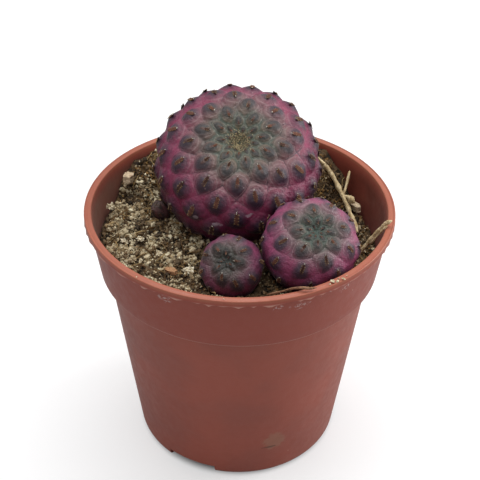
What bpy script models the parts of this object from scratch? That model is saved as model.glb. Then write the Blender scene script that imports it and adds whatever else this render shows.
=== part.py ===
"""A clump of small round cacti growing in a 5.5 cm plastic nursery pot.

Units are metres and +Z is up.  The origin is the middle of the pot's foot, on the surface it stands on.
The heads lean on each other, the clump is sized to the pot's mouth, the soil is moulded round the heads,
and each loose piece of litter is let down until it rests a hair above whatever lies under it.
"""

import math

import bmesh
import bpy
from mathutils import Matrix, Vector, noise
from mathutils.bvhtree import BVHTree

MM = 0.001
DOWN = Vector((0.0, 0.0, -1.0))
MERGE = 0.00001

# ---------------------------------------------------------------- the pot
POT_HEIGHT = 49.0 * MM
LIP_RADIUS = 27.5 * MM
LIP_THICKNESS = 0.95 * MM
LIP_OVERHANG = 0.7 * MM
COLLAR_HEIGHT = 11.4 * MM
COLLAR_TAPER = 1.6 * MM
COLLAR_STEP = 1.3 * MM
FOOT_RADIUS = 18.9 * MM
FOOT_FILLET = 1.6 * MM
FOOT_RING_WIDTH = 2.6 * MM
FOOT_RECESS = 1.4 * MM
WALL = 0.6 * MM
FLOOR = 0.8 * MM
INNER_FILLET = 1.0 * MM
EDGE_ROUND = 0.2 * MM
NOTCH_WIDTH = 9.6 * MM
NOTCH_HEIGHT = 1.2 * MM
NOTCH_BEARINGS = (3.0, 123.0, 243.0)
DRAIN_RADIUS = 2.5 * MM
DRAIN_CIRCLE = 11.0 * MM
POT_SEGMENTS = 48

# ---------------------------------------------------------------- the soil
SOIL_BELOW_RIM = 5.4 * MM
SOIL_GAP = 0.3 * MM
SOIL_RINGS = 10
SOIL_SEGMENTS = 44
HEAP_RISE = 4.3 * MM
HEAP_EDGE = 13.5 * MM
HEAP_SKEW = 0.07
HEAP_BLEND = 4.0 * MM
RIGHT_FALL = 3.6 * MM
RIGHT_FALL_SPAN = (14.0 * MM, 24.0 * MM)
LEFT_FALL = 1.2 * MM
LEFT_FALL_SPAN = (16.0 * MM, 25.0 * MM)
LUMP_HEIGHT = 0.35 * MM
LUMP_SPACING = 8.0 * MM

# ---------------------------------------------------------------- the clump
# The main stem's place is (x, y, height of its middle above the soil).  Each other head has a bearing from
# the head it leans on, and its own height above the soil.
MAIN_RADIUS = 14.9 * MM
MAIN_PLACE = (-0.4 * MM, 6.9 * MM, 9.4 * MM)
RIGHT_RADIUS = 8.5 * MM
RIGHT_BEARING = -55.9
RIGHT_RISE = 4.9 * MM
FRONT_RADIUS = 5.5 * MM
FRONT_BEARING = -165.0
FRONT_RISE = 3.0 * MM
PUP_RADIUS = 1.6 * MM
PUP_BEARING = -165.3
PUP_RISE = 1.3 * MM
HEAD_GAP = 0.3 * MM
CLUMP_TO_MOUTH = 1.32 * MM
ROOT_LENGTH = 17.0 * MM
ROOT_RADIUS = 4.6 * MM
ROOT_GAP = 1.6 * MM
CROWN_DIP = 0.12
CROWN_DIP_SPREAD = 0.38
CROWN_CROWDING = 0.62
TUBERCLE_DEPTH = 0.055
TUBERCLE_FILL = 0.52
TUBERCLE_LEAST = 0.04
GOLDEN_ANGLE = math.pi * (3.0 - math.sqrt(5.0))

# ---------------------------------------------------------------- the litter
LITTER_GAP = 0.3 * MM
STRAW_SPACING = 0.7 * MM
GRAIN_LUMPS = 0.25
GRAIN_FLATNESS = 0.75
CHIP_TAPER = 0.35
CHIP_WARP = 0.12 * MM

# name: (bearing in degrees, distance in from the wall, half width, stretch along its own x, turn, seed)
GRAINS = {
    "pumice_grain_1": (-122.0, 10.1, 1.05, 1.25, 20.0, 1),
    "pumice_grain_2": (-146.9, 9.6, 0.95, 1.1, 75.0, 2),
    "pumice_grain_3": (-165.4, 8.2, 0.9, 1.3, 130.0, 3),
    "pumice_grain_4": (-117.4, 5.9, 0.8, 1.2, 55.0, 4),
    "pumice_grain_5": (167.0, 1.9, 1.0, 1.15, 10.0, 5),
    "pumice_grain_6": (-167.5, 5.4, 0.85, 1.2, 160.0, 6),
    "pumice_grain_7": (-151.0, 5.2, 0.9, 1.3, 95.0, 7),
    "pumice_grain_8": (-134.0, 4.0, 0.85, 1.2, 35.0, 8),
}
# name: (bearing, distance in from the wall, length, width, thickness, turn, tilt)
CHIPS = {
    "bark_chip_left": (151.4, 2.6, 3.6, 1.9, 0.9, 82.0, 12.0),
    "bark_chip_front": (-130.0, 8.3, 2.2, 1.3, 0.8, -35.0, -10.0),
    "bark_chip_right": (24.0, 2.6, 3.0, 1.5, 1.1, 112.0, 8.0),
}
# name: (half thickness, [(bearing, distance in from the mouth's edge, height above the rim), ...])
STRAWS = {
    "straw_right": (0.52, [(-21.0, 4.1, -5.6), (-18.0, 3.2, -4.1), (-15.5, 1.8, -2.0),
                           (-14.6, 0.5, 0.1), (-13.8, -0.35, 0.75), (-13.0, -0.85, 0.8)]),
    "straw_back": (0.38, [(50.0, 3.6, -1.9), (41.0, 3.5, -4.0), (31.0, 4.1, -6.0),
                          (22.0, 4.4, -7.4), (12.0, 4.6, -8.2), (5.0, 4.6, -8.4)]),
    "rim_fibre": (0.16, [(-79.0, 2.6, -1.9), (-74.0, 1.5, -0.7), (-71.0, 0.7, 0.2),
                         (-68.0, -0.2, 0.75), (-65.0, -0.75, 0.6), (-62.5, -0.95, 0.5)]),
}

# Sizes that follow from the ones above
STEP_Z = POT_HEIGHT - COLLAR_HEIGHT
COLLAR_RADIUS = LIP_RADIUS - LIP_OVERHANG
COLLAR_FOOT_RADIUS = COLLAR_RADIUS - COLLAR_TAPER
BODY_RADIUS = COLLAR_FOOT_RADIUS - COLLAR_STEP
MOUTH_RADIUS = COLLAR_RADIUS - WALL
FLOOR_TOP = FOOT_RECESS + FLOOR
SOIL_LEVEL = POT_HEIGHT - SOIL_BELOW_RIM
RECESS_RADIUS = FOOT_RADIUS - FOOT_FILLET - FOOT_RING_WIDTH


# ---------------------------------------------------------------- helpers
def clear_scene():
    for old in list(bpy.data.objects):
        bpy.data.objects.remove(old, do_unlink=True)


def collection(name):
    made = bpy.data.collections.new(name)
    bpy.context.scene.collection.children.link(made)
    return made


def material(name, colour, roughness, metallic=0.0):
    made = bpy.data.materials.new(name)
    made.use_nodes = True
    shader = made.node_tree.nodes["Principled BSDF"]
    shader.inputs["Base Color"].default_value = (*colour, 1.0)
    shader.inputs["Roughness"].default_value = roughness
    shader.inputs["Metallic"].default_value = metallic
    return made


def place_mesh(name, mesh, home, finish=None):
    """Make an object of a mesh, put it in a collection and give it its material."""
    made = bpy.data.objects.new(name, mesh)
    home.objects.link(made)
    if finish is None:
        made.hide_render = True
        made.display_type = "WIRE"
    else:
        mesh.materials.append(finish)
        mesh.shade_smooth()
        mesh.set_sharp_from_angle(angle=math.radians(35.0))
    return made


def mesh_from(build, name):
    """Run a bmesh recipe and return the mesh it makes."""
    grown = bmesh.new()
    build(grown)
    mesh = bpy.data.meshes.new(name)
    grown.to_mesh(mesh)
    grown.free()
    return mesh


def evaluated_mesh(source):
    """A plain mesh of an object with its modifiers, or of a curve with its caps welded on."""
    graph = bpy.context.evaluated_depsgraph_get()
    mesh = bpy.data.meshes.new_from_object(source.evaluated_get(graph))
    joined = bmesh.new()
    joined.from_mesh(mesh)
    bmesh.ops.remove_doubles(joined, verts=joined.verts, dist=MERGE / 10)
    joined.to_mesh(mesh)
    joined.free()
    return mesh


def world_points(source):
    """The evaluated corners of an object in world space, and a search tree of its faces."""
    bpy.context.view_layer.update()
    shaped = source.evaluated_get(bpy.context.evaluated_depsgraph_get())
    mesh = shaped.to_mesh()
    corners = [source.matrix_world @ corner.co for corner in mesh.vertices]
    tree = BVHTree.FromPolygons(corners, [tuple(face.vertices) for face in mesh.polygons])
    shaped.to_mesh_clear()
    return corners, tree


def smooth_step(low, high, value):
    share = min(1.0, max(0.0, (value - low) / (high - low)))
    return share * share * (3.0 - 2.0 * share)


def fillet(before, corner, after, radius, steps=4):
    """Points of a round of the given radius at a corner of an outline."""
    corner = Vector(corner)
    one = (Vector(before) - corner).normalized()
    two = (Vector(after) - corner).normalized()
    half = one.angle(two) / 2.0
    centre = corner + (one + two).normalized() * radius / math.sin(half)
    first = (corner + one * radius / math.tan(half) - centre).normalized()
    last = (corner + two * radius / math.tan(half) - centre).normalized()
    return [tuple(centre + first.slerp(last, step / steps) * radius) for step in range(steps + 1)]


def turned_mesh(name, outline, steps):
    """Turn an outline of (radius, height) points once round the Z axis."""
    mesh = bpy.data.meshes.new(name)
    mesh.from_pydata([(radius, 0.0, height) for radius, height in outline],
                     [(index, index + 1) for index in range(len(outline) - 1)], [])
    lathe = bpy.data.objects.new(name, mesh)
    bpy.context.scene.collection.objects.link(lathe)
    screw = lathe.modifiers.new("Turn", "SCREW")
    screw.steps = steps
    screw.render_steps = steps
    screw.use_merge_vertices = True
    screw.merge_threshold = MERGE
    bpy.context.view_layer.update()
    turned = evaluated_mesh(lathe)
    bpy.data.objects.remove(lathe, do_unlink=True)
    return turned


def cut(piece, cutter):
    boolean = piece.modifiers.new(cutter.name, "BOOLEAN")
    boolean.operation = "DIFFERENCE"
    boolean.object = cutter


# ---------------------------------------------------------------- pot
def inner_radius(height):
    """Radius of the pot's inner wall at a height above the foot."""
    if height >= STEP_Z + WALL:
        share = (height - STEP_Z) / COLLAR_HEIGHT
        return COLLAR_FOOT_RADIUS + COLLAR_TAPER * share - WALL
    if height <= STEP_Z:
        return FOOT_RADIUS + (BODY_RADIUS - FOOT_RADIUS) * height / STEP_Z - WALL
    share = (height - STEP_Z) / WALL
    return inner_radius(STEP_Z) * (1.0 - share) + inner_radius(STEP_Z + WALL) * share


def floor_corner(gap=0.0):
    """The round between floor and inner wall, set in by a gap."""
    height = FLOOR_TOP + gap
    corner = (inner_radius(height) - gap, height)
    above = (inner_radius(STEP_Z) - gap, STEP_Z)
    return fillet((0.0, height), corner, above, INNER_FILLET)


def pot_outline():
    rim_inner = (MOUTH_RADIUS, POT_HEIGHT)
    rim_outer = (LIP_RADIUS, POT_HEIGHT)
    lip_under = (LIP_RADIUS, POT_HEIGHT - LIP_THICKNESS)
    below_step = (BODY_RADIUS, STEP_Z)
    collar_foot = (COLLAR_FOOT_RADIUS, STEP_Z)
    foot = (FOOT_RADIUS, 0.0)
    ring_inner = (RECESS_RADIUS, 0.0)
    return [(0.0, FLOOR_TOP), *floor_corner(),
            (inner_radius(STEP_Z), STEP_Z), (inner_radius(STEP_Z + WALL), STEP_Z + WALL),
            *fillet((inner_radius(STEP_Z + WALL), STEP_Z + WALL), rim_inner, rim_outer, EDGE_ROUND, 2),
            *fillet(rim_inner, rim_outer, lip_under, EDGE_ROUND, 2),
            lip_under, (COLLAR_RADIUS, POT_HEIGHT - LIP_THICKNESS),
            *fillet((COLLAR_RADIUS, POT_HEIGHT), collar_foot, below_step, EDGE_ROUND, 2),
            below_step, *fillet(below_step, foot, (0.0, 0.0), FOOT_FILLET, 5),
            ring_inner, (RECESS_RADIUS - FOOT_RECESS / 2, FOOT_RECESS), (0.0, FOOT_RECESS)]


def make_pot(home, cutters):
    plastic = material("terracotta_plastic", (0.19, 0.065, 0.045), 0.42)
    pot = place_mesh("pot", turned_mesh("pot", pot_outline(), POT_SEGMENTS), home, plastic)
    reach = FOOT_RADIUS - RECESS_RADIUS + FOOT_RECESS + 2 * WALL
    for number, bearing in enumerate(NOTCH_BEARINGS, start=1):
        turn = Matrix.Rotation(math.radians(bearing), 4, "Z")
        notch = place_mesh(f"notch_cutter_{number}",
                           mesh_from(lambda bm: bmesh.ops.create_cube(bm, size=1.0), "notch"), cutters)
        notch.matrix_world = (turn @ Matrix.Translation((RECESS_RADIUS + reach / 2 - FOOT_RECESS, 0, 0))
                              @ Matrix.Diagonal((reach, NOTCH_WIDTH, 2 * NOTCH_HEIGHT, 1.0)))
        cut(pot, notch)
        drain = place_mesh(f"drain_cutter_{number}",
                           mesh_from(lambda bm: bmesh.ops.create_cone(
                               bm, cap_ends=True, segments=20, radius1=DRAIN_RADIUS,
                               radius2=DRAIN_RADIUS, depth=4 * FLOOR_TOP), "drain"), cutters)
        drain.matrix_world = turn @ Matrix.Translation((DRAIN_CIRCLE, 0, FLOOR_TOP))
        cut(pot, drain)
    return pot


# ---------------------------------------------------------------- heads
def tubercles(count):
    """Directions and half widths of the tubercles: a golden-angle spiral from the crown to the root."""
    spots = []
    for index in range(count):
        share = (index + 0.5) / count
        tilt = math.pi * share ** CROWN_CROWDING
        turn = index * GOLDEN_ANGLE
        spread = math.pi * CROWN_CROWDING * share ** (CROWN_CROWDING - 1.0) / count
        half_width = TUBERCLE_FILL * math.sqrt(2.0 * math.pi * math.sin(tilt) * spread)
        direction = Vector((math.sin(tilt) * math.cos(turn), math.sin(tilt) * math.sin(turn), math.cos(tilt)))
        spots.append((direction, max(half_width, TUBERCLE_LEAST)))
    return spots


def head_mesh(name, radius, heights, spots, detail, root):
    """A ball with a sunken crown on +Z, flattened by heights above and below its widest line, with
    tubercles, and with a root drawn out along root's direction."""
    down, root_radius, root_length = root
    above, below = heights

    def build(bm):
        bmesh.ops.create_icosphere(bm, subdivisions=detail, radius=1.0)
        for corner in bm.verts:
            way = corner.co.normalized()
            size = 1.0 - CROWN_DIP * math.exp(-(way.angle(Vector((0, 0, 1))) / CROWN_DIP_SPREAD) ** 2)
            if spots:
                furrow = min((way - spot).length / width for spot, width in spots)
                size -= TUBERCLE_DEPTH * min(1.0, furrow * furrow)
            corner.co = Vector((way.x, way.y, way.z * (above if way.z > 0.0 else below))) * radius * size
            along = corner.co.dot(down)
            aside = (corner.co - down * along).length
            if along > 0.0 and aside < root_radius:
                corner.co += down * root_length * (1.0 - aside / root_radius)

    return mesh_from(build, name)


class Head:
    """One stem of the clump, with the smooth cutter that makes room for it in the soil."""

    def __init__(self, name, radius, heights, tilt, lean, count, detail, root_length=0.0):
        self.name = name
        self.radius = radius
        self.turn = (Matrix.Rotation(math.radians(lean), 4, "Z")
                     @ Matrix.Rotation(math.radians(tilt), 4, "Y"))
        down = self.turn.to_3x3().inverted() @ DOWN
        root = (down, ROOT_RADIUS, root_length)
        self.mesh = head_mesh(name, radius, heights, tubercles(count), detail, root)
        room = (down, ROOT_RADIUS + ROOT_GAP, root_length + ROOT_GAP if root_length else 0.0)
        self.room = head_mesh(name + "_room", radius + SOIL_GAP, heights, [], min(detail, 4), room)

    def put(self, parent, home, cutters, skin, keep):
        self.body = place_mesh(self.name, self.mesh, home, skin)
        self.cutter = place_mesh(self.name + "_room", self.room, cutters)
        if keep < 1.0:
            thin = self.body.modifiers.new("Thin", "DECIMATE")
            thin.ratio = keep
        for made in (self.body, self.cutter):
            made.parent = parent
            made.matrix_local = self.turn

    def move_to(self, place):
        for made in (self.body, self.cutter):
            made.matrix_local = Matrix.Translation(place) @ self.turn
        bpy.context.view_layer.update()

    def lean_on(self, others, start, bearing, rise):
        """Slide out from a start along a bearing until clear of the others by the head gap."""
        way = Vector((math.cos(math.radians(bearing)), math.sin(math.radians(bearing)), 0.0))
        trees = [world_points(other.body)[1] for other in others]
        near, far = 0.0, 4.0 * MAIN_RADIUS
        while far - near > MM / 100:
            middle = (near + far) / 2
            self.move_to(Vector((start[0], start[1], rise)) + way * middle)
            corners, own = world_points(self.body)
            clear = all(not own.overlap(tree) and gap_outside(tree, corners) >= HEAD_GAP for tree in trees)
            near, far = (near, middle) if clear else (middle, far)
        self.move_to(Vector((start[0], start[1], rise)) + way * far)


def gap_outside(tree, corners):
    """Smallest distance from the corners to a closed surface, or zero if a corner lies inside it."""
    gap = math.inf
    for corner in corners:
        nearest, normal, _, distance = tree.find_nearest(corner)
        gap = min(gap, distance if (corner - nearest).dot(normal) > 0.0 else 0.0)
    return gap


def make_clump(home, cutters):
    """Grow the four stems, let them lean together and size the clump to the pot's mouth."""
    soil_line = bpy.data.objects.new("clump", None)
    soil_line.location = (0.0, 0.0, SOIL_LEVEL)
    cutters.objects.link(soil_line)
    skin = material("cactus_skin", (0.09, 0.035, 0.06), 0.5)
    bud = material("bud_skin", (0.1, 0.06, 0.05), 0.6)

    # Each head: name, radius, heights, tilt of its crown, bearing of that tilt, tubercles, detail, root
    main = Head("main_stem", MAIN_RADIUS, (0.75, 0.95), 32.0, -85.0, 105, 5, ROOT_LENGTH)
    right = Head("right_offset", RIGHT_RADIUS, (0.82, 0.95), 29.0, -75.0, 70, 4)
    front = Head("front_offset", FRONT_RADIUS, (0.85, 0.95), 44.0, -96.0, 55, 4)
    pup = Head("left_pup", PUP_RADIUS, (1.0, 1.0), 30.0, -160.0, 24, 3)
    for head, finish, keep in ((main, skin, 0.55), (right, skin, 1.0), (front, skin, 0.75), (pup, bud, 0.8)):
        head.put(soil_line, home, cutters, finish, keep)

    main.move_to(MAIN_PLACE)
    right.lean_on([main], MAIN_PLACE, RIGHT_BEARING, RIGHT_RISE)
    front.lean_on([right, main], right.body.location, FRONT_BEARING, FRONT_RISE)
    pup.lean_on([main], MAIN_PLACE, PUP_BEARING, PUP_RISE)
    heads = [main, right, front, pup]

    corners = [corner for head in (right, front) for corner in world_points(head.body)[0]]
    reach = max(math.hypot(corner.x, corner.y) for corner in corners)
    fit = (MOUTH_RADIUS - CLUMP_TO_MOUTH) / reach
    soil_line.scale = (fit, fit, fit)
    print("clump scale", round(fit, 4))
    bpy.context.view_layer.update()
    return heads


# ---------------------------------------------------------------- soil
def soil_height(x, y):
    """Height of the soil: low at the right, a little low at the left, heaped against the back wall."""
    height = SOIL_LEVEL
    height -= RIGHT_FALL * smooth_step(*RIGHT_FALL_SPAN, x)
    height -= LEFT_FALL * smooth_step(*LEFT_FALL_SPAN, -x)
    edge = HEAP_EDGE + HEAP_SKEW * x
    height += HEAP_RISE * smooth_step(edge - HEAP_BLEND, edge + HEAP_BLEND, y)
    return height + LUMP_HEIGHT * noise.noise(Vector((x, y, 0.0)) / LUMP_SPACING)


def make_soil(home, cutters, heads):
    corner = floor_corner(SOIL_GAP)
    edge = inner_radius(SOIL_LEVEL) - SOIL_GAP
    top = [(edge * ring / SOIL_RINGS, SOIL_LEVEL) for ring in range(SOIL_RINGS + 1)]
    side = [(inner_radius(STEP_Z + WALL) - SOIL_GAP, STEP_Z + WALL + SOIL_GAP),
            (inner_radius(STEP_Z) - SOIL_GAP, STEP_Z + SOIL_GAP)]
    outline = top + side + corner[::-1] + [(0.0, corner[0][1])]
    mesh = turned_mesh("potting_soil", outline, SOIL_SEGMENTS)
    for point in mesh.vertices:
        if point.co.z > SOIL_LEVEL - MERGE:
            height = soil_height(point.co.x, point.co.y)
            spread = (inner_radius(height) - SOIL_GAP) / edge
            point.co = (point.co.x * spread, point.co.y * spread, height)
    soil = place_mesh("potting_soil", mesh, home, material("potting_soil", (0.09, 0.055, 0.03), 0.95))
    for head in heads:
        cut(soil, head.cutter)
    return soil


# ---------------------------------------------------------------- litter
def settle(piece, supports):
    """Let a piece down, or lift it, until it clears everything under it by the litter gap."""
    corners, own = world_points(piece)
    low = Vector([min(corner[axis] for corner in corners) for axis in range(3)])
    high = Vector([max(corner[axis] for corner in corners) for axis in range(3)])
    sky = 4.0 * POT_HEIGHT
    lifts = []
    for points, tree in supports:
        for corner in corners:
            hit = tree.ray_cast(Vector((corner.x, corner.y, sky)), DOWN)[0]
            if hit:
                lifts.append(hit.z + LITTER_GAP - corner.z)
        for point in points:
            if low.x <= point.x <= high.x and low.y <= point.y <= high.y:
                hit = own.ray_cast(Vector((point.x, point.y, -sky)), -DOWN)[0]
                if hit:
                    lifts.append(point.z + LITTER_GAP - hit.z)
    piece.location.z += max(lifts)
    supports.append(world_points(piece))


def on_bearing(bearing, distance):
    angle = math.radians(bearing)
    return distance * math.cos(angle), distance * math.sin(angle)


def smooth_route(points, spacing):
    """Points along a smooth curve through the given ones, by Catmull-Rom."""
    ends = [2 * points[0] - points[1], *points, 2 * points[-1] - points[-2]]
    route = []
    for a, b, c, d in zip(ends, ends[1:], ends[2:], ends[3:]):
        steps = max(1, round((c - b).length / spacing))
        for step in range(steps):
            t = step / steps
            route.append(0.5 * (2 * b + (c - a) * t + (2 * a - 5 * b + 4 * c - d) * t ** 2
                                + (3 * b - 3 * c + d - a) * t ** 3))
    return route + [points[-1]]


def make_straw(name, half_thickness, stations, home, finish, supports):
    points = []
    for bearing, inward, rise in stations:
        x, y = on_bearing(bearing, MOUTH_RADIUS - inward * MM)
        points.append(Vector((x, y, POT_HEIGHT + rise * MM)))
    origin = points[0].copy()
    curve = bpy.data.curves.new(name, "CURVE")
    curve.dimensions = "3D"
    curve.bevel_depth = half_thickness * MM
    curve.bevel_resolution = 1
    curve.use_fill_caps = True
    route = smooth_route(points, STRAW_SPACING)
    line = curve.splines.new("POLY")
    line.points.add(len(route) - 1)
    for spot, point in zip(line.points, route):
        spot.co = (*(point - origin), 1.0)
    drawn = bpy.data.objects.new(name + "_line", curve)
    home.objects.link(drawn)
    bpy.context.view_layer.update()
    straw = place_mesh(name, evaluated_mesh(drawn), home, finish)
    straw.location = origin
    bpy.data.objects.remove(drawn, do_unlink=True)
    settle(straw, supports)


def make_grain(name, bearing, inward, half_width, stretch, turn, seed, home, finish, supports):
    def build(bm):
        bmesh.ops.create_icosphere(bm, subdivisions=2, radius=half_width * MM)
        for corner in bm.verts:
            lump = noise.noise(corner.co / (half_width * MM) + Vector((7.0 * seed, 0.0, 0.0)))
            shape = Vector((corner.co.x * stretch, corner.co.y, corner.co.z * GRAIN_FLATNESS))
            corner.co = shape * (1.0 + GRAIN_LUMPS * lump)

    grain = place_mesh(name, mesh_from(build, name), home, finish)
    x, y = on_bearing(bearing, MOUTH_RADIUS - inward * MM)
    grain.location = (x, y, SOIL_LEVEL)
    grain.rotation_euler = (0.0, 0.0, math.radians(turn))
    settle(grain, supports)


def make_chip(name, bearing, inward, length, width, thickness, turn, tilt, home, finish, supports):
    def build(bm):
        bmesh.ops.create_cube(bm, size=MM)
        bmesh.ops.scale(bm, vec=(length, width, thickness), verts=bm.verts)
        bmesh.ops.subdivide_edges(bm, edges=bm.edges, cuts=2, use_grid_fill=True)
        for corner in bm.verts:
            corner.co.y *= 1.0 - CHIP_TAPER * abs(corner.co.x) / (length * MM / 2)
            corner.co.z += CHIP_WARP * noise.noise(corner.co / MM)

    chip = place_mesh(name, mesh_from(build, name), home, finish)
    x, y = on_bearing(bearing, MOUTH_RADIUS - inward * MM)
    chip.location = (x, y, SOIL_LEVEL)
    chip.rotation_euler = (0.0, math.radians(tilt), math.radians(turn))
    settle(chip, supports)


def make_litter(home, solids):
    supports = [world_points(solid) for solid in solids]
    straw = material("dry_straw", (0.5, 0.36, 0.17), 0.7)
    bark = material("bark", (0.42, 0.26, 0.12), 0.8)
    pumice = material("pumice", (0.62, 0.55, 0.42), 0.85)
    for name, (half_thickness, stations) in STRAWS.items():
        make_straw(name, half_thickness, stations, home, straw, supports)
    for name, sizes in CHIPS.items():
        make_chip(name, *sizes, home, bark, supports)
    for name, sizes in GRAINS.items():
        make_grain(name, *sizes, home, pumice, supports)


def main():
    clear_scene()
    home = collection("potted_round_cactus")
    cutters = collection("cutters")
    pot = make_pot(home, cutters)
    heads = make_clump(home, cutters)
    soil = make_soil(home, cutters, heads)
    make_litter(home, [pot, soil] + [head.body for head in heads])


main()
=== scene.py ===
# %% [markdown]
# # A clump of small round cacti in a nursery pot
# The frame below is the plain solid model: a pot, its soil, four stems and a little litter. Each of them
# gets a finished piece that stands in exactly the same place, made of fine mesh and procedural finishes.
# Everything is in metres with +Z up and the origin under the middle of the pot's foot.

# %% Load the frame
import math

import bmesh
import bpy
import numpy as np
from mathutils import Matrix, Vector, noise
from mathutils.bvhtree import BVHTree


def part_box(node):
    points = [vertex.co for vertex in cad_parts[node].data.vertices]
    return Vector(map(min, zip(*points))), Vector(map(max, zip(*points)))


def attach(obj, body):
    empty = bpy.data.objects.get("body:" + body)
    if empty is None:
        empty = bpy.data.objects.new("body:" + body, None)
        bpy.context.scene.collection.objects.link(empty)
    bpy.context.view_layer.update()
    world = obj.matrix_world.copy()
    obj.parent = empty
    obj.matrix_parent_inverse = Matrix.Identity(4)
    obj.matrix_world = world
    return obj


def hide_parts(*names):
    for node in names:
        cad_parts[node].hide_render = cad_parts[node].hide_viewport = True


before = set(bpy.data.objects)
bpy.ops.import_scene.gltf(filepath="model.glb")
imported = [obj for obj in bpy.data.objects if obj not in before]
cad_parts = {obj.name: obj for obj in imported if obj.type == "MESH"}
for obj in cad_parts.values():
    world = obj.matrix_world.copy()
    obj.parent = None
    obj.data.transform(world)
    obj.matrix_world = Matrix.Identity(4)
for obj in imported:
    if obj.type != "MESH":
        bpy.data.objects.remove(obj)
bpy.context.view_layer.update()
MM = 0.001
scene = bpy.context.scene

# %% [markdown]
# ## The camera
# The pot stands on a table and is seen from a little above, through a long lens from about 22 cm away, so
# its mouth shows as an ellipse and its sides hardly converge. `to_track_quat` turns the camera towards a
# point; a small roll about its own axis follows, because it was held by hand.

# %% Camera
CAMERA_PLACE = (0.0, -0.17467, 0.16906)
CAMERA_TARGET = (0.00013, 0.0, 0.04112)
CAMERA_ROLL = 0.73
CAMERA_LENS = 89.57


def aimed(place, target, roll=0.0):
    """The matrix of a thing at a place whose -Z looks at a target."""
    turn = (Vector(target) - Vector(place)).to_track_quat("-Z", "Y").to_matrix().to_4x4()
    return Matrix.Translation(place) @ turn @ Matrix.Rotation(math.radians(roll), 4, "Z")


lens = bpy.data.cameras.new("camera")
lens.lens = CAMERA_LENS
lens.sensor_width = 36.0
lens.clip_start = 0.01
camera = bpy.data.objects.new("camera", lens)
camera.matrix_world = aimed(CAMERA_PLACE, CAMERA_TARGET, CAMERA_ROLL)
scene.collection.objects.link(camera)
scene.camera = camera
print("camera's right hand", [round(v, 4) for v in camera.matrix_world.to_3x3().col[0]])

# %% [markdown]
# ## Shader building blocks
# A finish is a little program of nodes. `node` adds one and fills its sockets, from numbers or from other
# sockets; `maths`, `blend`, `ramp` and `span` are the four kinds that come up all the time. They keep the
# finishes further down short enough to read.


# %% Node helpers
def connect(tree, socket, value):
    """Feed a socket from another socket, or set it to a plain value."""
    if isinstance(value, bpy.types.NodeSocket):
        tree.links.new(value, socket)
    else:
        socket.default_value = value


def node(tree, kind, inputs=None, **settings):
    """Add a node; an input may be a plain value or the socket that feeds it."""
    made = tree.nodes.new(kind)
    for name, value in settings.items():
        setattr(made, name, value)
    for key, value in (inputs or {}).items():
        connect(tree, made.inputs[key], value)
    return made


def maths(tree, operation, *values, clamp=False):
    made = node(tree, "ShaderNodeMath", dict(enumerate(values)), operation=operation, use_clamp=clamp)
    return made.outputs[0]


def rgba(colour):
    return (*colour, 1.0)


def blend(tree, share, one, two, kind="MIX"):
    """Colour one where the share is 0 and colour two where it is 1."""
    one, two = (value if isinstance(value, bpy.types.NodeSocket) else rgba(value) for value in (one, two))
    made = node(tree, "ShaderNodeMix", {0: share, 6: one, 7: two}, data_type="RGBA", blend_type=kind)
    return made.outputs[2]


def span(tree, value, low, high, to_low=0.0, to_high=1.0):
    """A smooth rise from to_low to to_high while the value goes from low to high."""
    made = node(tree, "ShaderNodeMapRange", {0: value, 1: low, 2: high, 3: to_low, 4: to_high},
                interpolation_type="SMOOTHSTEP")
    return made.outputs[0]


def ramp(tree, value, stops):
    """A colour ramp from (position, colour) pairs."""
    made = node(tree, "ShaderNodeValToRGB", {0: value})
    elements = made.color_ramp.elements
    while len(elements) < len(stops):
        elements.new(0.5)
    for element, (position, colour) in zip(elements, stops):
        element.position = position
        element.color = rgba(colour)
    return made.outputs[0]


def attribute(tree, name, output="Fac"):
    return node(tree, "ShaderNodeAttribute", attribute_name=name).outputs[output]


def object_place(tree):
    return node(tree, "ShaderNodeTexCoord").outputs["Object"]


def new_finish(name, **constants):
    """A material and its Principled BSDF, with the sockets that are the same all over set on it."""
    finish = bpy.data.materials.new(name)
    finish.use_nodes = True
    shader = finish.node_tree.nodes["Principled BSDF"]
    for socket, value in constants.items():
        shader.inputs[socket.replace("_", " ")].default_value = value
    return finish, finish.node_tree, shader


def feed(tree, shader, **sources):
    for socket, source in sources.items():
        tree.links.new(source, shader.inputs[socket.replace("_", " ")])


# %% [markdown]
# ## Table and light
# The object stands on a plain white table under a large soft light that hangs overhead and a little
# behind, so level surfaces get much more light than the pot's front. A wide area lamp gives that, with a
# dim even world round it. White paper would throw much of the light back up at the pot, so the
# table is a dull grey to every ray except the camera's own, which `Light Path` tells apart. To the camera
# it also glows a little, as a lit tabletop does, so that the shadow round the pot stays pale. The glow
# stops under the foot, where the notches would otherwise look lit from within. A smaller lamp at the right
# gives that flank its bright edge, and a very weak one in front keeps the pot's face from going flat.

# %% Table, lamps and world
TABLE_SIZE = 3.0
TABLE_WHITE = (0.5, 0.5, 0.5)
TABLE_BOUNCE = (0.37, 0.37, 0.37)
TABLE_GLOW = 0.49
# distance from the middle of the foot where the glow begins, and where it is full
GLOW_FROM = 17.0 * MM
GLOW_FULL = 19.6 * MM
WORLD_COLOUR = (0.97, 0.98, 1.0)
WORLD_STRENGTH = 0.52
# name: (place, target, width, height, power in watts)
LAMPS = {
    "overhead_lamp": ((-0.02, 0.09, 0.62), (0.0, 0.0, 0.03), 0.55, 0.45, 3.1),
    "right_fill_lamp": ((0.55, 0.14, 0.25), (0.0, 0.0, 0.04), 0.3, 0.3, 2.3),
    "front_fill_lamp": ((-0.1, -0.7, 0.25), (0.0, 0.0, 0.02), 0.4, 0.3, 0.14),
}

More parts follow.
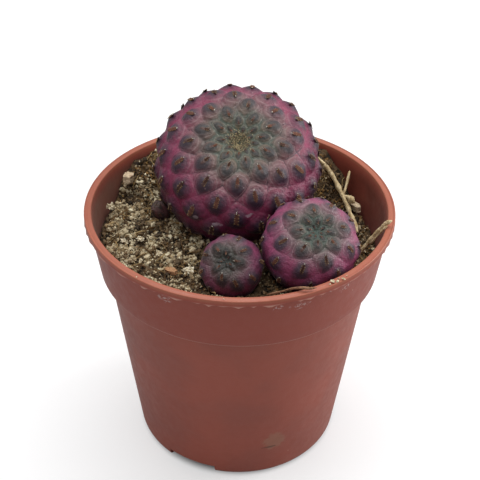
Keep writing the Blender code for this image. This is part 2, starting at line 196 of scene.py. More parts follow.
sheet = bmesh.new()
bmesh.ops.create_grid(sheet, x_segments=1, y_segments=1, size=TABLE_SIZE / 2)
table_mesh = bpy.data.meshes.new("table")
sheet.to_mesh(table_mesh)
sheet.free()
table = bpy.data.objects.new("table", table_mesh)
scene.collection.objects.link(table)
table_finish, tree, shader = new_finish("table_white", Roughness=0.9)
seen = node(tree, "ShaderNodeLightPath").outputs["Is Camera Ray"]
away = node(tree, "ShaderNodeVectorMath", {0: object_place(tree)}, operation="LENGTH").outputs["Value"]
glow = span(tree, away, GLOW_FROM, GLOW_FULL, 0.0, TABLE_GLOW)
feed(tree, shader, Base_Color=blend(tree, seen, TABLE_BOUNCE, TABLE_WHITE),
     Emission_Strength=maths(tree, "MULTIPLY", seen, glow))
shader.inputs["Emission Color"].default_value = rgba((1.0, 1.0, 1.0))
table_mesh.materials.append(table_finish)

for name, (place, target, width, height, power) in LAMPS.items():
    lamp = bpy.data.lights.new(name, "AREA")
    lamp.shape = "RECTANGLE"
    lamp.size = width
    lamp.size_y = height
    lamp.energy = power
    holder = bpy.data.objects.new(name, lamp)
    holder.matrix_world = aimed(place, target)
    scene.collection.objects.link(holder)

world = bpy.data.worlds.new("studio")
scene.world = world
world.use_nodes = True
world.node_tree.nodes["Background"].inputs["Color"].default_value = rgba(WORLD_COLOUR)
world.node_tree.nodes["Background"].inputs["Strength"].default_value = WORLD_STRENGTH
scene.view_settings.view_transform = "Standard"
print("lamps", list(LAMPS))

# %% [markdown]
# ## Effects that several finishes share
# Three node groups are built once. `fine_relief` is a bump with a coarse and a fine scale of noise, for
# moulded plastic, skin, earth and straw. `specks` scatters small spots, one in some of the cells of a
# Voronoi pattern, for grit stuck to plastic and pale dots on skin. `smudge` is one soft-edged patch with a
# ragged outline, for a scuff or a stain at a given place. They put out masks and normals only.


# %% Shader groups
def new_group(name, inputs, outputs):
    """A shader group with (name, kind, default) inputs and (name, kind) outputs."""
    group = bpy.data.node_groups.new(name, "ShaderNodeTree")
    for label, kind, default in inputs:
        socket = group.interface.new_socket(name=label, in_out="INPUT", socket_type="NodeSocket" + kind)
        if default is not None:
            socket.default_value = default
    for label, kind in outputs:
        group.interface.new_socket(name=label, in_out="OUTPUT", socket_type="NodeSocket" + kind)
    return group, node(group, "NodeGroupInput").outputs, node(group, "NodeGroupOutput").inputs


def noise_value(tree, where, scale, detail=2.0, roughness=0.5, distortion=0.0):
    made = node(tree, "ShaderNodeTexNoise", {"Vector": where, "Scale": scale, "Detail": detail,
                                             "Roughness": roughness, "Distortion": distortion})
    return made.outputs[0]


def make_fine_relief():
    group, given, result = new_group("fine_relief", [
        ("Where", "Vector", None), ("Coarse Scale", "Float", 300.0), ("Fine Scale", "Float", 2000.0),
        ("Fine Share", "Float", 0.3), ("Depth", "Float", 0.0001)], [("Normal", "Vector")])
    coarse = noise_value(group, given["Where"], given["Coarse Scale"], 3.0)
    fine = noise_value(group, given["Where"], given["Fine Scale"], 2.0)
    height = maths(group, "MULTIPLY_ADD", fine, given["Fine Share"], coarse)
    bump = node(group, "ShaderNodeBump", {"Strength": 1.0, "Distance": given["Depth"], "Height": height})
    group.links.new(bump.outputs[0], result["Normal"])
    return group


def make_specks():
    group, given, result = new_group("specks", [
        ("Where", "Vector", None), ("Per Metre", "Float", 400.0), ("Share", "Float", 0.1),
        ("Radius", "Float", 0.2)], [("Mask", "Float")])
    cells = node(group, "ShaderNodeTexVoronoi", {"Vector": given["Where"], "Scale": given["Per Metre"]})
    chosen = node(group, "ShaderNodeSeparateColor", {"Color": cells.outputs["Color"]})
    present = maths(group, "LESS_THAN", chosen.outputs[0], given["Share"])
    reach = maths(group, "MULTIPLY", given["Radius"], maths(group, "ADD", chosen.outputs[1], 0.4))
    near = span(group, maths(group, "SUBTRACT", reach, cells.outputs["Distance"]), 0.0, 0.05)
    group.links.new(maths(group, "MULTIPLY", present, near), result["Mask"])
    return group


def make_smudge():
    group, given, result = new_group("smudge", [
        ("Where", "Vector", None), ("Middle", "Vector", None), ("Reach", "Vector", None),
        ("Ragged Scale", "Float", 900.0), ("Raggedness", "Float", 0.8)], [("Mask", "Float")])
    off = node(group, "ShaderNodeVectorMath", {0: given["Where"], 1: given["Middle"]}, operation="SUBTRACT")
    share = node(group, "ShaderNodeVectorMath", {0: off.outputs[0], 1: given["Reach"]}, operation="DIVIDE")
    length = node(group, "ShaderNodeVectorMath", {0: share.outputs[0]}, operation="LENGTH").outputs["Value"]
    ragged = noise_value(group, given["Where"], given["Ragged Scale"], 4.0, 0.6)
    ragged = maths(group, "SUBTRACT", ragged, 0.5)
    edge = maths(group, "MULTIPLY_ADD", ragged, given["Raggedness"], length)
    group.links.new(span(group, edge, 1.0, 0.6), result["Mask"])
    return group


# %% Build the groups and place them
FINE_RELIEF = make_fine_relief()
SPECKS = make_specks()
SMUDGE = make_smudge()


def group_output(tree, made, inputs):
    """Fill a placed group's inputs, from numbers or from other sockets, and return its one output."""
    for key, value in inputs.items():
        connect(tree, made.inputs[key], value)
    return made.outputs[0]


def relief(tree, where, coarse, fine, share, depth):
    made = node(tree, "ShaderNodeGroup", node_tree=FINE_RELIEF)
    sizes = {"Where": where, "Coarse Scale": coarse, "Fine Scale": fine, "Fine Share": share, "Depth": depth}
    return group_output(tree, made, sizes)


def specks(tree, where, per_metre, share, radius):
    made = node(tree, "ShaderNodeGroup", node_tree=SPECKS)
    return group_output(tree, made, {"Where": where, "Per Metre": per_metre, "Share": share,
                                     "Radius": radius})


def smudge(tree, where, middle, reach, ragged_scale=900.0, raggedness=0.8):
    made = node(tree, "ShaderNodeGroup", node_tree=SMUDGE)
    return group_output(tree, made, {"Where": where, "Middle": middle, "Reach": reach,
                                     "Ragged Scale": ragged_scale, "Raggedness": raggedness})


print("shared groups", [group.name for group in (FINE_RELIEF, SPECKS, SMUDGE)])

# %% [markdown]
# ## Mesh building blocks
# `revolve` turns an outline round the Z axis, for the pot and the soil. `loft_into` draws a closed tube
# through a route with its own width at each point, for straws, fibres and spines. `settle_in` is the last
# step of every piece: it gives it its finish, lets it ride on the body and hides the plain solids that it
# stands for.


# %% Mesh helpers
def linked(name, mesh):
    made = bpy.data.objects.new(name, mesh)
    scene.collection.objects.link(made)
    return made


def settle_in(piece, finish, slot, *nodes):
    """Dress a finished piece, let it ride on the body and hide the plain solids that it stands for; the slot
    is not used.
    """
    piece.data.materials.clear()
    piece.data.materials.append(finish)
    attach(piece, "root")
    if nodes:
        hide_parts(*nodes)
    triangles = sum(len(face.vertices) - 2 for face in piece.data.polygons)
    print(piece.name, "triangles", triangles)
    return piece


def mesh_of(name, recipe):
    """Run a bmesh recipe and return its mesh."""
    made = bmesh.new()
    recipe(made)
    mesh = bpy.data.meshes.new(name)
    made.to_mesh(mesh)
    made.free()
    return mesh


def read_points(mesh):
    flat = np.empty(len(mesh.vertices) * 3)
    mesh.vertices.foreach_get("co", flat)
    return flat.reshape(-1, 3)


def write_points(mesh, points):
    mesh.vertices.foreach_set("co", np.ascontiguousarray(points, dtype=np.float32).ravel())
    mesh.update()


def store(mesh, name, values, kind="FLOAT"):
    """Keep one number or one vector for each point of a mesh."""
    layer = mesh.attributes.new(name, kind, "POINT")
    layer.data.foreach_set("vector" if kind == "FLOAT_VECTOR" else "value",
                           np.ascontiguousarray(values, dtype=np.float32).ravel())


def revolve(name, outline, segments):
    """A closed solid from (radius, height) points that start and end on the axis."""
    def recipe(made):
        rings = []
        for radius, height in outline:
            if radius < 1e-7:
                rings.append([made.verts.new((0.0, 0.0, height))] * segments)
                continue
            angles = [2.0 * math.pi * step / segments for step in range(segments)]
            rings.append([made.verts.new((radius * math.cos(angle), radius * math.sin(angle), height))
                          for angle in angles])
        for one, two in zip(rings, rings[1:]):
            for step in range(segments):
                corners = [one[step], one[step - 1], two[step - 1], two[step]]
                made.faces.new(list(dict.fromkeys(corners)))
        bmesh.ops.recalc_face_normals(made, faces=made.faces)
    return mesh_of(name, recipe)


# %% Lofts and smooth routes
def loft_into(made, route, widths, sides, flat=1.0, ridges=0.0, ridge_count=3):
    """Add a closed tube to a bmesh; flat squashes it across and ridges groove it lengthwise."""
    rings = []
    last = len(route) - 1
    side = Vector((0.3, 0.2, 1.0))
    for index, (point, width) in enumerate(zip(route, widths)):
        ahead = (route[min(index + 1, last)] - route[max(index - 1, 0)]).normalized()
        side = (side - ahead * side.dot(ahead)).normalized()
        up = ahead.cross(side)
        ring = []
        for step in range(sides):
            angle = 2.0 * math.pi * step / sides
            reach = width * (1.0 + ridges * math.cos(ridge_count * angle))
            ring.append(made.verts.new(point + side * math.cos(angle) * reach
                                       + up * math.sin(angle) * reach * flat))
        rings.append(ring)
    for one, two in zip(rings, rings[1:]):
        for step in range(sides):
            made.faces.new([one[step - 1], one[step], two[step], two[step - 1]])
    made.faces.new(rings[0])
    made.faces.new(rings[-1][::-1])
    bmesh.ops.recalc_face_normals(made, faces=made.faces)


def smooth_route(points, spacing):
    """Points along a smooth curve through the given ones, by Catmull-Rom."""
    ends = [2 * points[0] - points[1], *points, 2 * points[-1] - points[-2]]
    route = []
    for a, b, c, d in zip(ends, ends[1:], ends[2:], ends[3:]):
        steps = max(1, round((c - b).length / spacing))
        for step in range(steps):
            t = step / steps
            route.append(0.5 * (2 * b + (c - a) * t + (2 * a - 5 * b + 4 * c - d) * t ** 2
                                + (3 * b - 3 * c + d - a) * t ** 3))
    return route + [points[-1]]


# %% Rules that shape many points at once
def smooth_step(low, high, value):
    share = np.clip((value - low) / (high - low), 0.0, 1.0)
    return share * share * (3.0 - 2.0 * share)


def waves(angles, seed, count=9, lowest=2, highest=40):
    """A ragged wave round a circle, from a few sines, about -1 to 1."""
    draw = np.random.default_rng(seed)
    total = np.zeros_like(angles)
    for times, start in zip(draw.integers(lowest, highest, count), draw.uniform(0.0, 2.0 * math.pi, count)):
        total += np.sin(times * angles + start)
    return total / math.sqrt(count)

# %% [markdown]
# ## The pot's shape
# A nursery pot is one thin skin of moulded plastic: a flat lip, a tall collar that stands out from the body,
# a tapered body with a small round at the foot, and notches so that water can leave. All of it but the
# notches and the drain holes is turned, so an outline revolved in 288 steps makes it, and Booleans cut the
# rest. The outline repeats the plain solid's sizes. Three things are finer here: the lip's level top has a
# shallow gutter, a thin ragged fin of plastic hangs from its lower edge where the mould's halves met, and
# each notch rises further where it passes through the outer wall, while the floor above it stays whole.

# %% Pot sizes
POT_HEIGHT = 49.0 * MM
LIP_RADIUS = 27.5 * MM
LIP_THICKNESS = 0.95 * MM
LIP_OVERHANG = 0.7 * MM
COLLAR_HEIGHT = 11.4 * MM
COLLAR_TAPER = 1.6 * MM
COLLAR_STEP = 1.3 * MM
FOOT_RADIUS = 18.9 * MM
FOOT_FILLET = 1.6 * MM
FOOT_RING_WIDTH = 2.6 * MM
FOOT_RECESS = 1.4 * MM
WALL = 0.6 * MM
FLOOR = 0.8 * MM
INNER_FILLET = 1.0 * MM
EDGE_ROUND = 0.2 * MM
NOTCH_WIDTH = 9.6 * MM
NOTCH_HEIGHT = 1.2 * MM
NOTCH_RISE = 2.05 * MM
NOTCH_RISE_FROM = 16.8 * MM
NOTCH_RISE_INSET = 0.01 * MM
NOTCH_BEARINGS = (3.0, 123.0, 243.0)
DRAIN_RADIUS = 2.5 * MM
DRAIN_CIRCLE = 11.0 * MM
DRAIN_SEGMENTS = 32
POT_SEGMENTS = 288
POT_STRETCH = 1.6 * MM
POT_SHARP_ANGLE = 32.0
GUTTER_DEPTH = 0.12 * MM
FIN_REACH = 0.16 * MM
FIN_SAG = 0.22 * MM
SWAY = 0.05 * MM
BULGE_LIMIT = 0.1 * MM
STEP_Z = POT_HEIGHT - COLLAR_HEIGHT
COLLAR_RADIUS = LIP_RADIUS - LIP_OVERHANG
COLLAR_FOOT_RADIUS = COLLAR_RADIUS - COLLAR_TAPER
BODY_RADIUS = COLLAR_FOOT_RADIUS - COLLAR_STEP
MOUTH_RADIUS = COLLAR_RADIUS - WALL
FLOOR_TOP = FOOT_RECESS + FLOOR
LIP_UNDER = POT_HEIGHT - LIP_THICKNESS
RECESS_RADIUS = FOOT_RADIUS - FOOT_FILLET - FOOT_RING_WIDTH


def inner_radius(height):
    """Radius of the pot's inner wall at a height above the foot."""
    if height >= STEP_Z + WALL:
        return COLLAR_FOOT_RADIUS + COLLAR_TAPER * (height - STEP_Z) / COLLAR_HEIGHT - WALL
    if height <= STEP_Z:
        return FOOT_RADIUS + (BODY_RADIUS - FOOT_RADIUS) * height / STEP_Z - WALL
    share = (height - STEP_Z) / WALL
    return inner_radius(STEP_Z) * (1.0 - share) + inner_radius(STEP_Z + WALL) * share


def fillet(before, corner, after, radius, steps=6):
    """Points of a round of the given radius at a corner of an outline."""
    corner = Vector(corner)
    one = (Vector(before) - corner).normalized()
    two = (Vector(after) - corner).normalized()
    half = one.angle(two) / 2.0
    centre = corner + (one + two).normalized() * radius / math.sin(half)
    first = (corner + one * radius / math.tan(half) - centre).normalized()
    last = (corner + two * radius / math.tan(half) - centre).normalized()
    return [tuple(centre + first.slerp(last, step / steps) * radius) for step in range(steps + 1)]


def finely(outline, longest):
    """The same outline with its long straight stretches cut into shorter ones."""
    fine = [outline[0]]
    for one, two in zip(outline, outline[1:]):
        parts = max(1, math.ceil((Vector(two) - Vector(one)).length / longest))
        fine += [tuple(Vector(one).lerp(Vector(two), part / parts)) for part in range(1, parts + 1)]
    return fine


print("wall inside the step, mm", round(inner_radius(STEP_Z) / MM, 2))


# %% The pot's outline
def lip_top():
    """The lip's level top from its inner edge to its outer one, with a shallow gutter near the outside."""
    width = LIP_RADIUS - MOUTH_RADIUS
    places = [0.3, 0.5, 0.62, 0.7, 0.78, 0.86]
    dips = [0.0, 0.25, 0.8, 1.0, 0.75, 0.1]
    return [(MOUTH_RADIUS + width * place, POT_HEIGHT - GUTTER_DEPTH * dip)
            for place, dip in zip(places, dips)]


def pot_outline():
    rim_inner = (MOUTH_RADIUS, POT_HEIGHT)
    rim_outer = (LIP_RADIUS, POT_HEIGHT)
    lip_under = (LIP_RADIUS, LIP_UNDER)
    below_step = (BODY_RADIUS, STEP_Z)
    collar_foot = (COLLAR_FOOT_RADIUS, STEP_Z)
    foot = (FOOT_RADIUS, 0.0)
    ring_inner = (RECESS_RADIUS, 0.0)
    floor_edge = (inner_radius(FLOOR_TOP), FLOOR_TOP)
    above_floor = (inner_radius(STEP_Z), STEP_Z)
    inner_shoulder = (inner_radius(STEP_Z + WALL), STEP_Z + WALL)
    lip_root = (COLLAR_RADIUS, LIP_UNDER + 0.15 * MM)
    return [(0.0, FLOOR_TOP), *fillet((0.0, FLOOR_TOP), floor_edge, above_floor, INNER_FILLET),
            above_floor, inner_shoulder, *fillet(inner_shoulder, rim_inner, rim_outer, EDGE_ROUND, 4),
            *lip_top(), *fillet(rim_inner, rim_outer, lip_under, EDGE_ROUND, 4),
            (LIP_RADIUS, LIP_UNDER + 0.1 * MM), lip_under, (LIP_RADIUS - 0.12 * MM, LIP_UNDER + 0.02 * MM),
            lip_root, *fillet((COLLAR_RADIUS, POT_HEIGHT), collar_foot, below_step, EDGE_ROUND, 4),
            *fillet(collar_foot, below_step, foot, EDGE_ROUND, 3),
            *fillet(below_step, foot, (0.0, 0.0), FOOT_FILLET, 8),
            ring_inner, (RECESS_RADIUS - FOOT_RECESS / 2, FOOT_RECESS), (0.0, FOOT_RECESS)]


# %% Cutters for the notches and the drain holes
def cutter_at(name, mesh, place):
    made = linked(name, mesh)
    made.matrix_world = place
    made.hide_render = True
    return made


def block_cutter(name, turn, middle, sizes):
    """A box of the given sizes whose middle is a distance out from the axis, at the foot's level."""
    block = mesh_of(name, lambda made: bmesh.ops.create_cube(made, size=1.0))
    return cutter_at(name, block, turn @ Matrix.Translation((middle, 0, 0)) @ Matrix.Diagonal((*sizes, 1.0)))


def cut_pot(pot):
    """Cut the foot's notches and the drain holes, and return the result as a plain mesh."""
    reach = FOOT_RADIUS - RECESS_RADIUS + FOOT_RECESS + 2 * WALL
    cutters = []
    for bearing in NOTCH_BEARINGS:
        turn = Matrix.Rotation(math.radians(bearing), 4, "Z")
        cutters.append(block_cutter("notch", turn, RECESS_RADIUS + reach / 2 - FOOT_RECESS,
                                    (reach, NOTCH_WIDTH, 2 * NOTCH_HEIGHT)))
        cutters.append(block_cutter("notch_rise", turn, NOTCH_RISE_FROM + reach / 2,
                                    (reach, NOTCH_WIDTH - 2 * NOTCH_RISE_INSET, 2 * NOTCH_RISE)))
        rod = mesh_of("drain", lambda made: bmesh.ops.create_cone(
            made, cap_ends=True, segments=DRAIN_SEGMENTS, radius1=DRAIN_RADIUS, radius2=DRAIN_RADIUS,
            depth=4 * FLOOR_TOP))
        cutters.append(cutter_at("drain", rod, turn @ Matrix.Translation((DRAIN_CIRCLE, 0, FLOOR_TOP))))
    for cutter in cutters:
        hole = pot.modifiers.new(cutter.name, "BOOLEAN")
        hole.object = cutter
    return baked(pot, cutters)


def baked(piece, helpers=()):
    """Make a piece's modifiers permanent and clear away the helper objects."""
    bpy.context.view_layer.update()
    mesh = bpy.data.meshes.new_from_object(piece.evaluated_get(bpy.context.evaluated_depsgraph_get()))
    piece.modifiers.clear()
    piece.data = mesh
    for helper in helpers:
        bpy.data.objects.remove(helper, do_unlink=True)
    return piece


# %% Fray the lip
def fray_lip(mesh):
    """Pull the lip's lower corner out and down into a thin ragged fin, and let the collar sway a little."""
    points = read_points(mesh)
    radius = np.hypot(points[:, 0], points[:, 1])
    angle = np.arctan2(points[:, 1], points[:, 0])
    fin = (np.abs(points[:, 2] - LIP_UNDER) < 0.05 * MM) & (radius > LIP_RADIUS - 0.15 * MM)
    tip = fin & (radius > LIP_RADIUS - 0.02 * MM)
    ragged = np.clip(0.45 + 0.75 * waves(angle, 11, 14, 20, 110), 0.0, 1.4)
    points[tip, 2] -= FIN_SAG * ragged[tip]
    spread = 1.0 + FIN_REACH * ragged[tip] * 0.5 / LIP_RADIUS
    points[tip, 0] *= spread
    points[tip, 1] *= spread
    sway = SWAY * waves(angle, 12, 6, 1, 6) * smooth_step(STEP_Z, POT_HEIGHT, points[:, 2])
    points[:, 0] *= 1.0 + sway / LIP_RADIUS
    points[:, 1] *= 1.0 + sway / LIP_RADIUS
    limit = LIP_RADIUS + BULGE_LIMIT
    radius = np.hypot(points[:, 0], points[:, 1])
    points[:, :2] *= np.minimum(1.0, limit / np.maximum(radius, limit))[:, None]
    write_points(mesh, points)
    store(mesh, "fin", fin * np.clip(ragged, 0.0, 1.0))


# %% Make the pot's shell
pot_shell = linked("pot_shell", revolve("pot_shell", finely(pot_outline(), POT_STRETCH), POT_SEGMENTS))
cut_pot(pot_shell)
fray_lip(pot_shell.data)
pot_shell.data.shade_smooth()
pot_shell.data.set_sharp_from_angle(angle=math.radians(POT_SHARP_ANGLE))
print("pot shell faces", len(pot_shell.data.polygons))

# %% [markdown]
# ## The pot's plastic
# The plastic is a warm red-brown, satin where it is clean. Handling leaves it a little uneven: faint cloudy
# patches, a few specks of chalky dust, pale scuffs on the collar under the lip, and a clay-coloured smear
# with a dark dash low on the body. Light and shade are painted in as well: the collar a little darker than
# the body as painted shade under the lip, the lip's top a little oranger as painted light through the thin
# plastic, and a thin pale line along the collar's lower edge as a painted highlight. Inside, the wall below
# the rim is painted dark as shade and has pale tide marks, and a film of dust lies over that at the left.
# Each of these is a mask over the Object coordinates. The clean colour comes first and each mask is laid
# over it.

# %% Colours of the plastic
PLASTIC = (0.37, 0.090, 0.058)
PLASTIC_CLOUD = (0.32, 0.085, 0.058)
# the collar's colour: darker than the body, which is painted shade under the lip
PLASTIC_COLLAR_SHADE = (0.32, 0.066, 0.042)
# the lip top's colour: oranger, which is painted light shining through the thin plastic
PLASTIC_RIM_GLOW = (0.36, 0.107, 0.060)
# the colour of a painted highlight along the collar's lower edge
EDGE_HIGHLIGHT = (0.50, 0.27, 0.21)
DUST_FILM = (0.30, 0.16, 0.115)
# the inner wall's colour: dark, which is painted shade inside the pot
PLASTIC_INSIDE_SHADE = (0.15, 0.026, 0.013)
FIN_PALE = (0.62, 0.38, 0.30)
SCUFF_PALE = (0.62, 0.50, 0.47)
CLAY_SMEAR = (0.36, 0.26, 0.16)
DARK_DASH = (0.07, 0.04, 0.025)
SPECK_PALE = (0.62, 0.42, 0.34)
TIDE_MARK = (0.36, 0.27, 0.20)
# bearing in degrees, then radius, height and reach of each scuff, in millimetres
SCUFFS = ((-76.5, 26.5, 46.7, (1.3, 1.0, 0.8)), (-68.0, 26.4, 46.0, (2.6, 1.4, 0.9)),
          (-58.0, 26.5, 47.2, (2.6, 1.6, 0.7)), (-48.0, 26.3, 46.2, (1.5, 1.5, 1.2)),
          (-117.0, 26.4, 46.3, (1.6, 1.2, 1.1)))


# %% Masks on the pot
def on_wall(bearing, radius, height):
    """A place in metres from a bearing in degrees, and a radius and height in millimetres."""
    angle = math.radians(bearing)
    return (radius * MM * math.cos(angle), radius * MM * math.sin(angle), height * MM)


def sized(x, y, z):
    return (x * MM, y * MM, z * MM)


def pot_masks(tree, where):
    """Place across from left to right, height, and 1 on the inner side of the wall."""
    parts = node(tree, "ShaderNodeSeparateXYZ", {0: where}).outputs
    flat = maths(tree, "SQRT", maths(tree, "ADD", maths(tree, "MULTIPLY", parts[0], parts[0]),
                                     maths(tree, "MULTIPLY", parts[1], parts[1])))
    half_wall = WALL / 2
    lean = (BODY_RADIUS - FOOT_RADIUS) / STEP_Z
    body = maths(tree, "MULTIPLY_ADD", parts[2], lean, FOOT_RADIUS - half_wall)
    slope = COLLAR_TAPER / COLLAR_HEIGHT
    collar = maths(tree, "MULTIPLY_ADD", parts[2], slope, COLLAR_FOOT_RADIUS - slope * STEP_Z - half_wall)
    inside_body = span(tree, maths(tree, "SUBTRACT", body, flat), 0.0, 0.1 * MM)
    inside_collar = span(tree, maths(tree, "SUBTRACT", collar, flat), 0.0, 0.1 * MM)
    high = span(tree, parts[2], STEP_Z, STEP_Z + WALL)
    inside = node(tree, "ShaderNodeMix", {0: high, 2: inside_body, 3: inside_collar}, data_type="FLOAT")
    return parts[0], parts[2], inside.outputs[0]


# %% Lay the plastic
def make_plastic():
    """Clean plastic first, then painted shade on the collar, a painted highlight on its lower edge, painted
    light on the rim, fin, painted shade inside, dust, specks, scuffs and smear.
    """
    finish, tree, shader = new_finish("pot_plastic", Specular_IOR_Level=0.4, Sheen_Weight=0.05,
                                      Sheen_Roughness=0.5)
    where = object_place(tree)
    across, height, inside = pot_masks(tree, where)
    cloud = noise_value(tree, where, 90.0, 3.0)
    colour = blend(tree, span(tree, cloud, 0.35, 0.7), PLASTIC, PLASTIC_CLOUD)
    # painted shade: the collar is made a little darker than the body, as shade under the lip
    collar_shade = span(tree, height, STEP_Z - 0.4 * MM, STEP_Z + 0.6 * MM, 0.0, 0.85)
    colour = blend(tree, collar_shade, colour, PLASTIC_COLLAR_SHADE)
    # painted highlight: a thin pale line along the collar's rounded lower edge
    step_highlight = maths(tree, "MULTIPLY", span(tree, height, STEP_Z - 0.02 * MM, STEP_Z + 0.04 * MM),
                      span(tree, height, STEP_Z + 0.26 * MM, STEP_Z + 0.12 * MM, 0.0, 0.6))
    colour = blend(tree, step_highlight, colour, EDGE_HIGHLIGHT)
    # painted light: the lip's top is made a little oranger, as light shining through the thin plastic
    rim_glow = maths(tree, "MULTIPLY", span(tree, height, POT_HEIGHT - 0.8 * MM, POT_HEIGHT - 0.3 * MM),
                     span(tree, noise_value(tree, where, 500.0, 4.0), 0.25, 0.6, 0.6, 1.0))
    colour = blend(tree, rim_glow, colour, PLASTIC_RIM_GLOW)
    colour = blend(tree, maths(tree, "MULTIPLY", attribute(tree, "fin"), 0.75), colour, FIN_PALE)
    # painted shade: the inner wall below the rim is made dark, patchy with noise; the same mask makes it
    # rougher
    shade_mottle = span(tree, noise_value(tree, where, 260.0, 4.0), 0.25, 0.75, 0.75, 1.0)
    below_rim = span(tree, height, POT_HEIGHT - 0.3 * MM, POT_HEIGHT - 3.0 * MM, 0.0, 1.0)
    inside_shade = maths(tree, "MULTIPLY", maths(tree, "MULTIPLY", inside, below_rim), shade_mottle)
    colour = blend(tree, inside_shade, colour, PLASTIC_INSIDE_SHADE)
    dusty = maths(tree, "MULTIPLY", inside_shade, span(tree, across, -12.0 * MM, -23.0 * MM, 0.0, 0.5))
    colour = blend(tree, dusty, colour, DUST_FILM)
    tide = maths(tree, "MULTIPLY", specks(tree, where, 330.0, 0.16, 0.42),
                 maths(tree, "MULTIPLY", inside, span(tree, noise_value(tree, where, 120.0), 0.5, 0.62)))
    colour = blend(tree, maths(tree, "MULTIPLY", tide, 0.7), colour, TIDE_MARK)
    dots = maths(tree, "ADD", specks(tree, where, 210.0, 0.05, 0.055), specks(tree, where, 420.0, 0.04, 0.09))
    colour = blend(tree, maths(tree, "MULTIPLY", dots, 0.65), colour, SPECK_PALE)
    streaks = node(tree, "ShaderNodeMapping", {0: where, 3: (1.0, 1.0, 1.6)}).outputs[0]
    chips = span(tree, noise_value(tree, streaks, 1500.0, 3.0, 0.7), 0.53, 0.62)
    for bearing, radius, level, reach in SCUFFS:
        patch = smudge(tree, where, on_wall(bearing, radius, level), sized(*reach))
        scuff = maths(tree, "MULTIPLY", maths(tree, "MULTIPLY", patch, chips), 0.6)
        colour = blend(tree, scuff, colour, SCUFF_PALE)
    smear = smudge(tree, where, on_wall(-70.0, 20.1, 9.2), sized(2.6, 1.6, 2.6), 700.0, 1.3)
    colour = blend(tree, maths(tree, "MULTIPLY", smear, 0.28), colour, CLAY_SMEAR)
    dash = smudge(tree, where, on_wall(-72.5, 19.9, 7.7), sized(1.7, 1.2, 0.28), 1400.0, 1.0)
    colour = blend(tree, maths(tree, "MULTIPLY", dash, 0.6), colour, DARK_DASH)
    rough = span(tree, noise_value(tree, where, 700.0, 4.0), 0.2, 0.8, 0.36, 0.52)
    rough = maths(tree, "ADD", rough, maths(tree, "MULTIPLY", inside_shade, 0.12))
    feed(tree, shader, Base_Color=colour, Roughness=rough,
         Normal=relief(tree, where, 450.0, 4200.0, 0.25, 0.00006))
    return finish


settle_in(pot_shell, make_plastic(), "pot", "pot")

# %% [markdown]
# ## The stems
# Each stem is a ball, flattened along its own axis, with a sunken crown where it grows. Its surface is
# covered with tubercles, low mounds that follow a spiral: each new one stands about 137 degrees round from
# the last, and near the crown each is a set share smaller than the one before. So a rule can make it all.
# An icosphere gives even triangles with no poles. For every point the nearest two mounds are found; the
# distance to the first shapes the mound and the difference between the two marks the furrow. Those numbers
# are kept on the mesh as attributes, so the skin's colours follow the relief exactly. The main stem also
# has its root, drawn out of the ball's underside.

# %% Stem sizes
# dips, depths and heights are shares of the radius, the root's sizes are lengths, and the others are angles
# from the crown in radians
CROWN_DIP = 0.25
CROWN_DIP_SPREAD = 0.37
TUBERCLE_DEPTH = 0.062
RIDGE_HEIGHT = 0.008
SPACING_LEAST = 0.05
CROWN_BARE = 0.11
YOUNG_REACH = 0.48
PETAL_REACH = 0.75
LAST_TUBERCLE = 2.7
ROOT_LENGTH = 17.0 * MM
ROOT_RADIUS = 4.6 * MM


class Stem:
    """The sizes of one stem: where it is, how it leans, and the spiral that its tubercles follow."""

    def __init__(self, place, radius, heights, tilt, lean, count, crowding, start, divergence, detail,
                 root=0.0):
        self.centre = np.array(place) * MM
        self.radius = radius * MM
        self.heights = heights
        turn = Matrix.Rotation(math.radians(lean), 3, "Z") @ Matrix.Rotation(math.radians(tilt), 3, "Y")
        self.turn = np.array(turn)
        self.detail = detail
        self.root = root
        index = np.arange(-count, count)
        polar = math.pi * np.clip((index + 0.5) / count, 1e-6, 1.0) ** crowding
        self.per_step = math.pi * crowding / count
        start_polar = polar[np.argmax(polar > YOUNG_REACH)]
        start_index = index[np.argmax(polar > YOUNG_REACH)]
        youth = start_polar * np.exp((index - start_index) * self.per_step / start_polar)
        polar = np.where(index < start_index, youth, polar)
        kept = (polar > CROWN_BARE) & (polar < LAST_TUBERCLE)
        self.polar = polar[kept]
        self.around = (math.radians(start) + index * math.radians(divergence))[kept]

    def spacing(self, polar):
        """Distance between neighbouring tubercles, in radians, at an angle from the crown."""
        step = self.per_step * np.minimum(polar / YOUNG_REACH, 1.0)
        area = 2.0 * math.pi * np.sin(np.clip(polar, 0.0, math.pi)) * step
        return np.maximum(np.sqrt(2.0 / math.sqrt(3.0) * area), SPACING_LEAST)


# %% The four stems
# name: (CAD node, stem)
# each stem: place and radius in millimetres, height above and below its waist as shares of the radius, tilt
# and bearing in degrees, tubercles, crowding to the crown, first bearing, turn per tubercle, mesh detail
STEMS = {
    "main_cactus_head": ("main_stem", Stem((-0.4, 6.9, 53.0), 14.9, (0.75, 0.95), 30.5, -86.0,
                                           133, 1.032, 249.7, 137.2, 7, ROOT_LENGTH)),
    "right_cactus_head": ("right_offset", Stem((12.1, -11.5, 48.5), 8.5, (0.86, 0.95), 29.2, -74.7,
                                               62, 0.970, 22.4, 136.94, 7)),
    "front_cactus_head": ("front_offset", Stem((-1.3, -15.1, 46.6), 5.5, (0.88, 0.95), 39.5, -110.0,
                                               34, 0.988, 292.1, 131.78, 6)),
    "left_cactus_pup": ("left_pup", Stem((-14.2, 3.3, 44.9), 1.75, (1.45, 1.0), 30.0, -160.0,
                                         22, 0.9, 60.0, 137.5, 5)),
}


# %% Mounds and furrows
def on_ball(polar, around):
    return np.stack([np.sin(polar) * np.cos(around), np.sin(polar) * np.sin(around), np.cos(polar)], axis=-1)


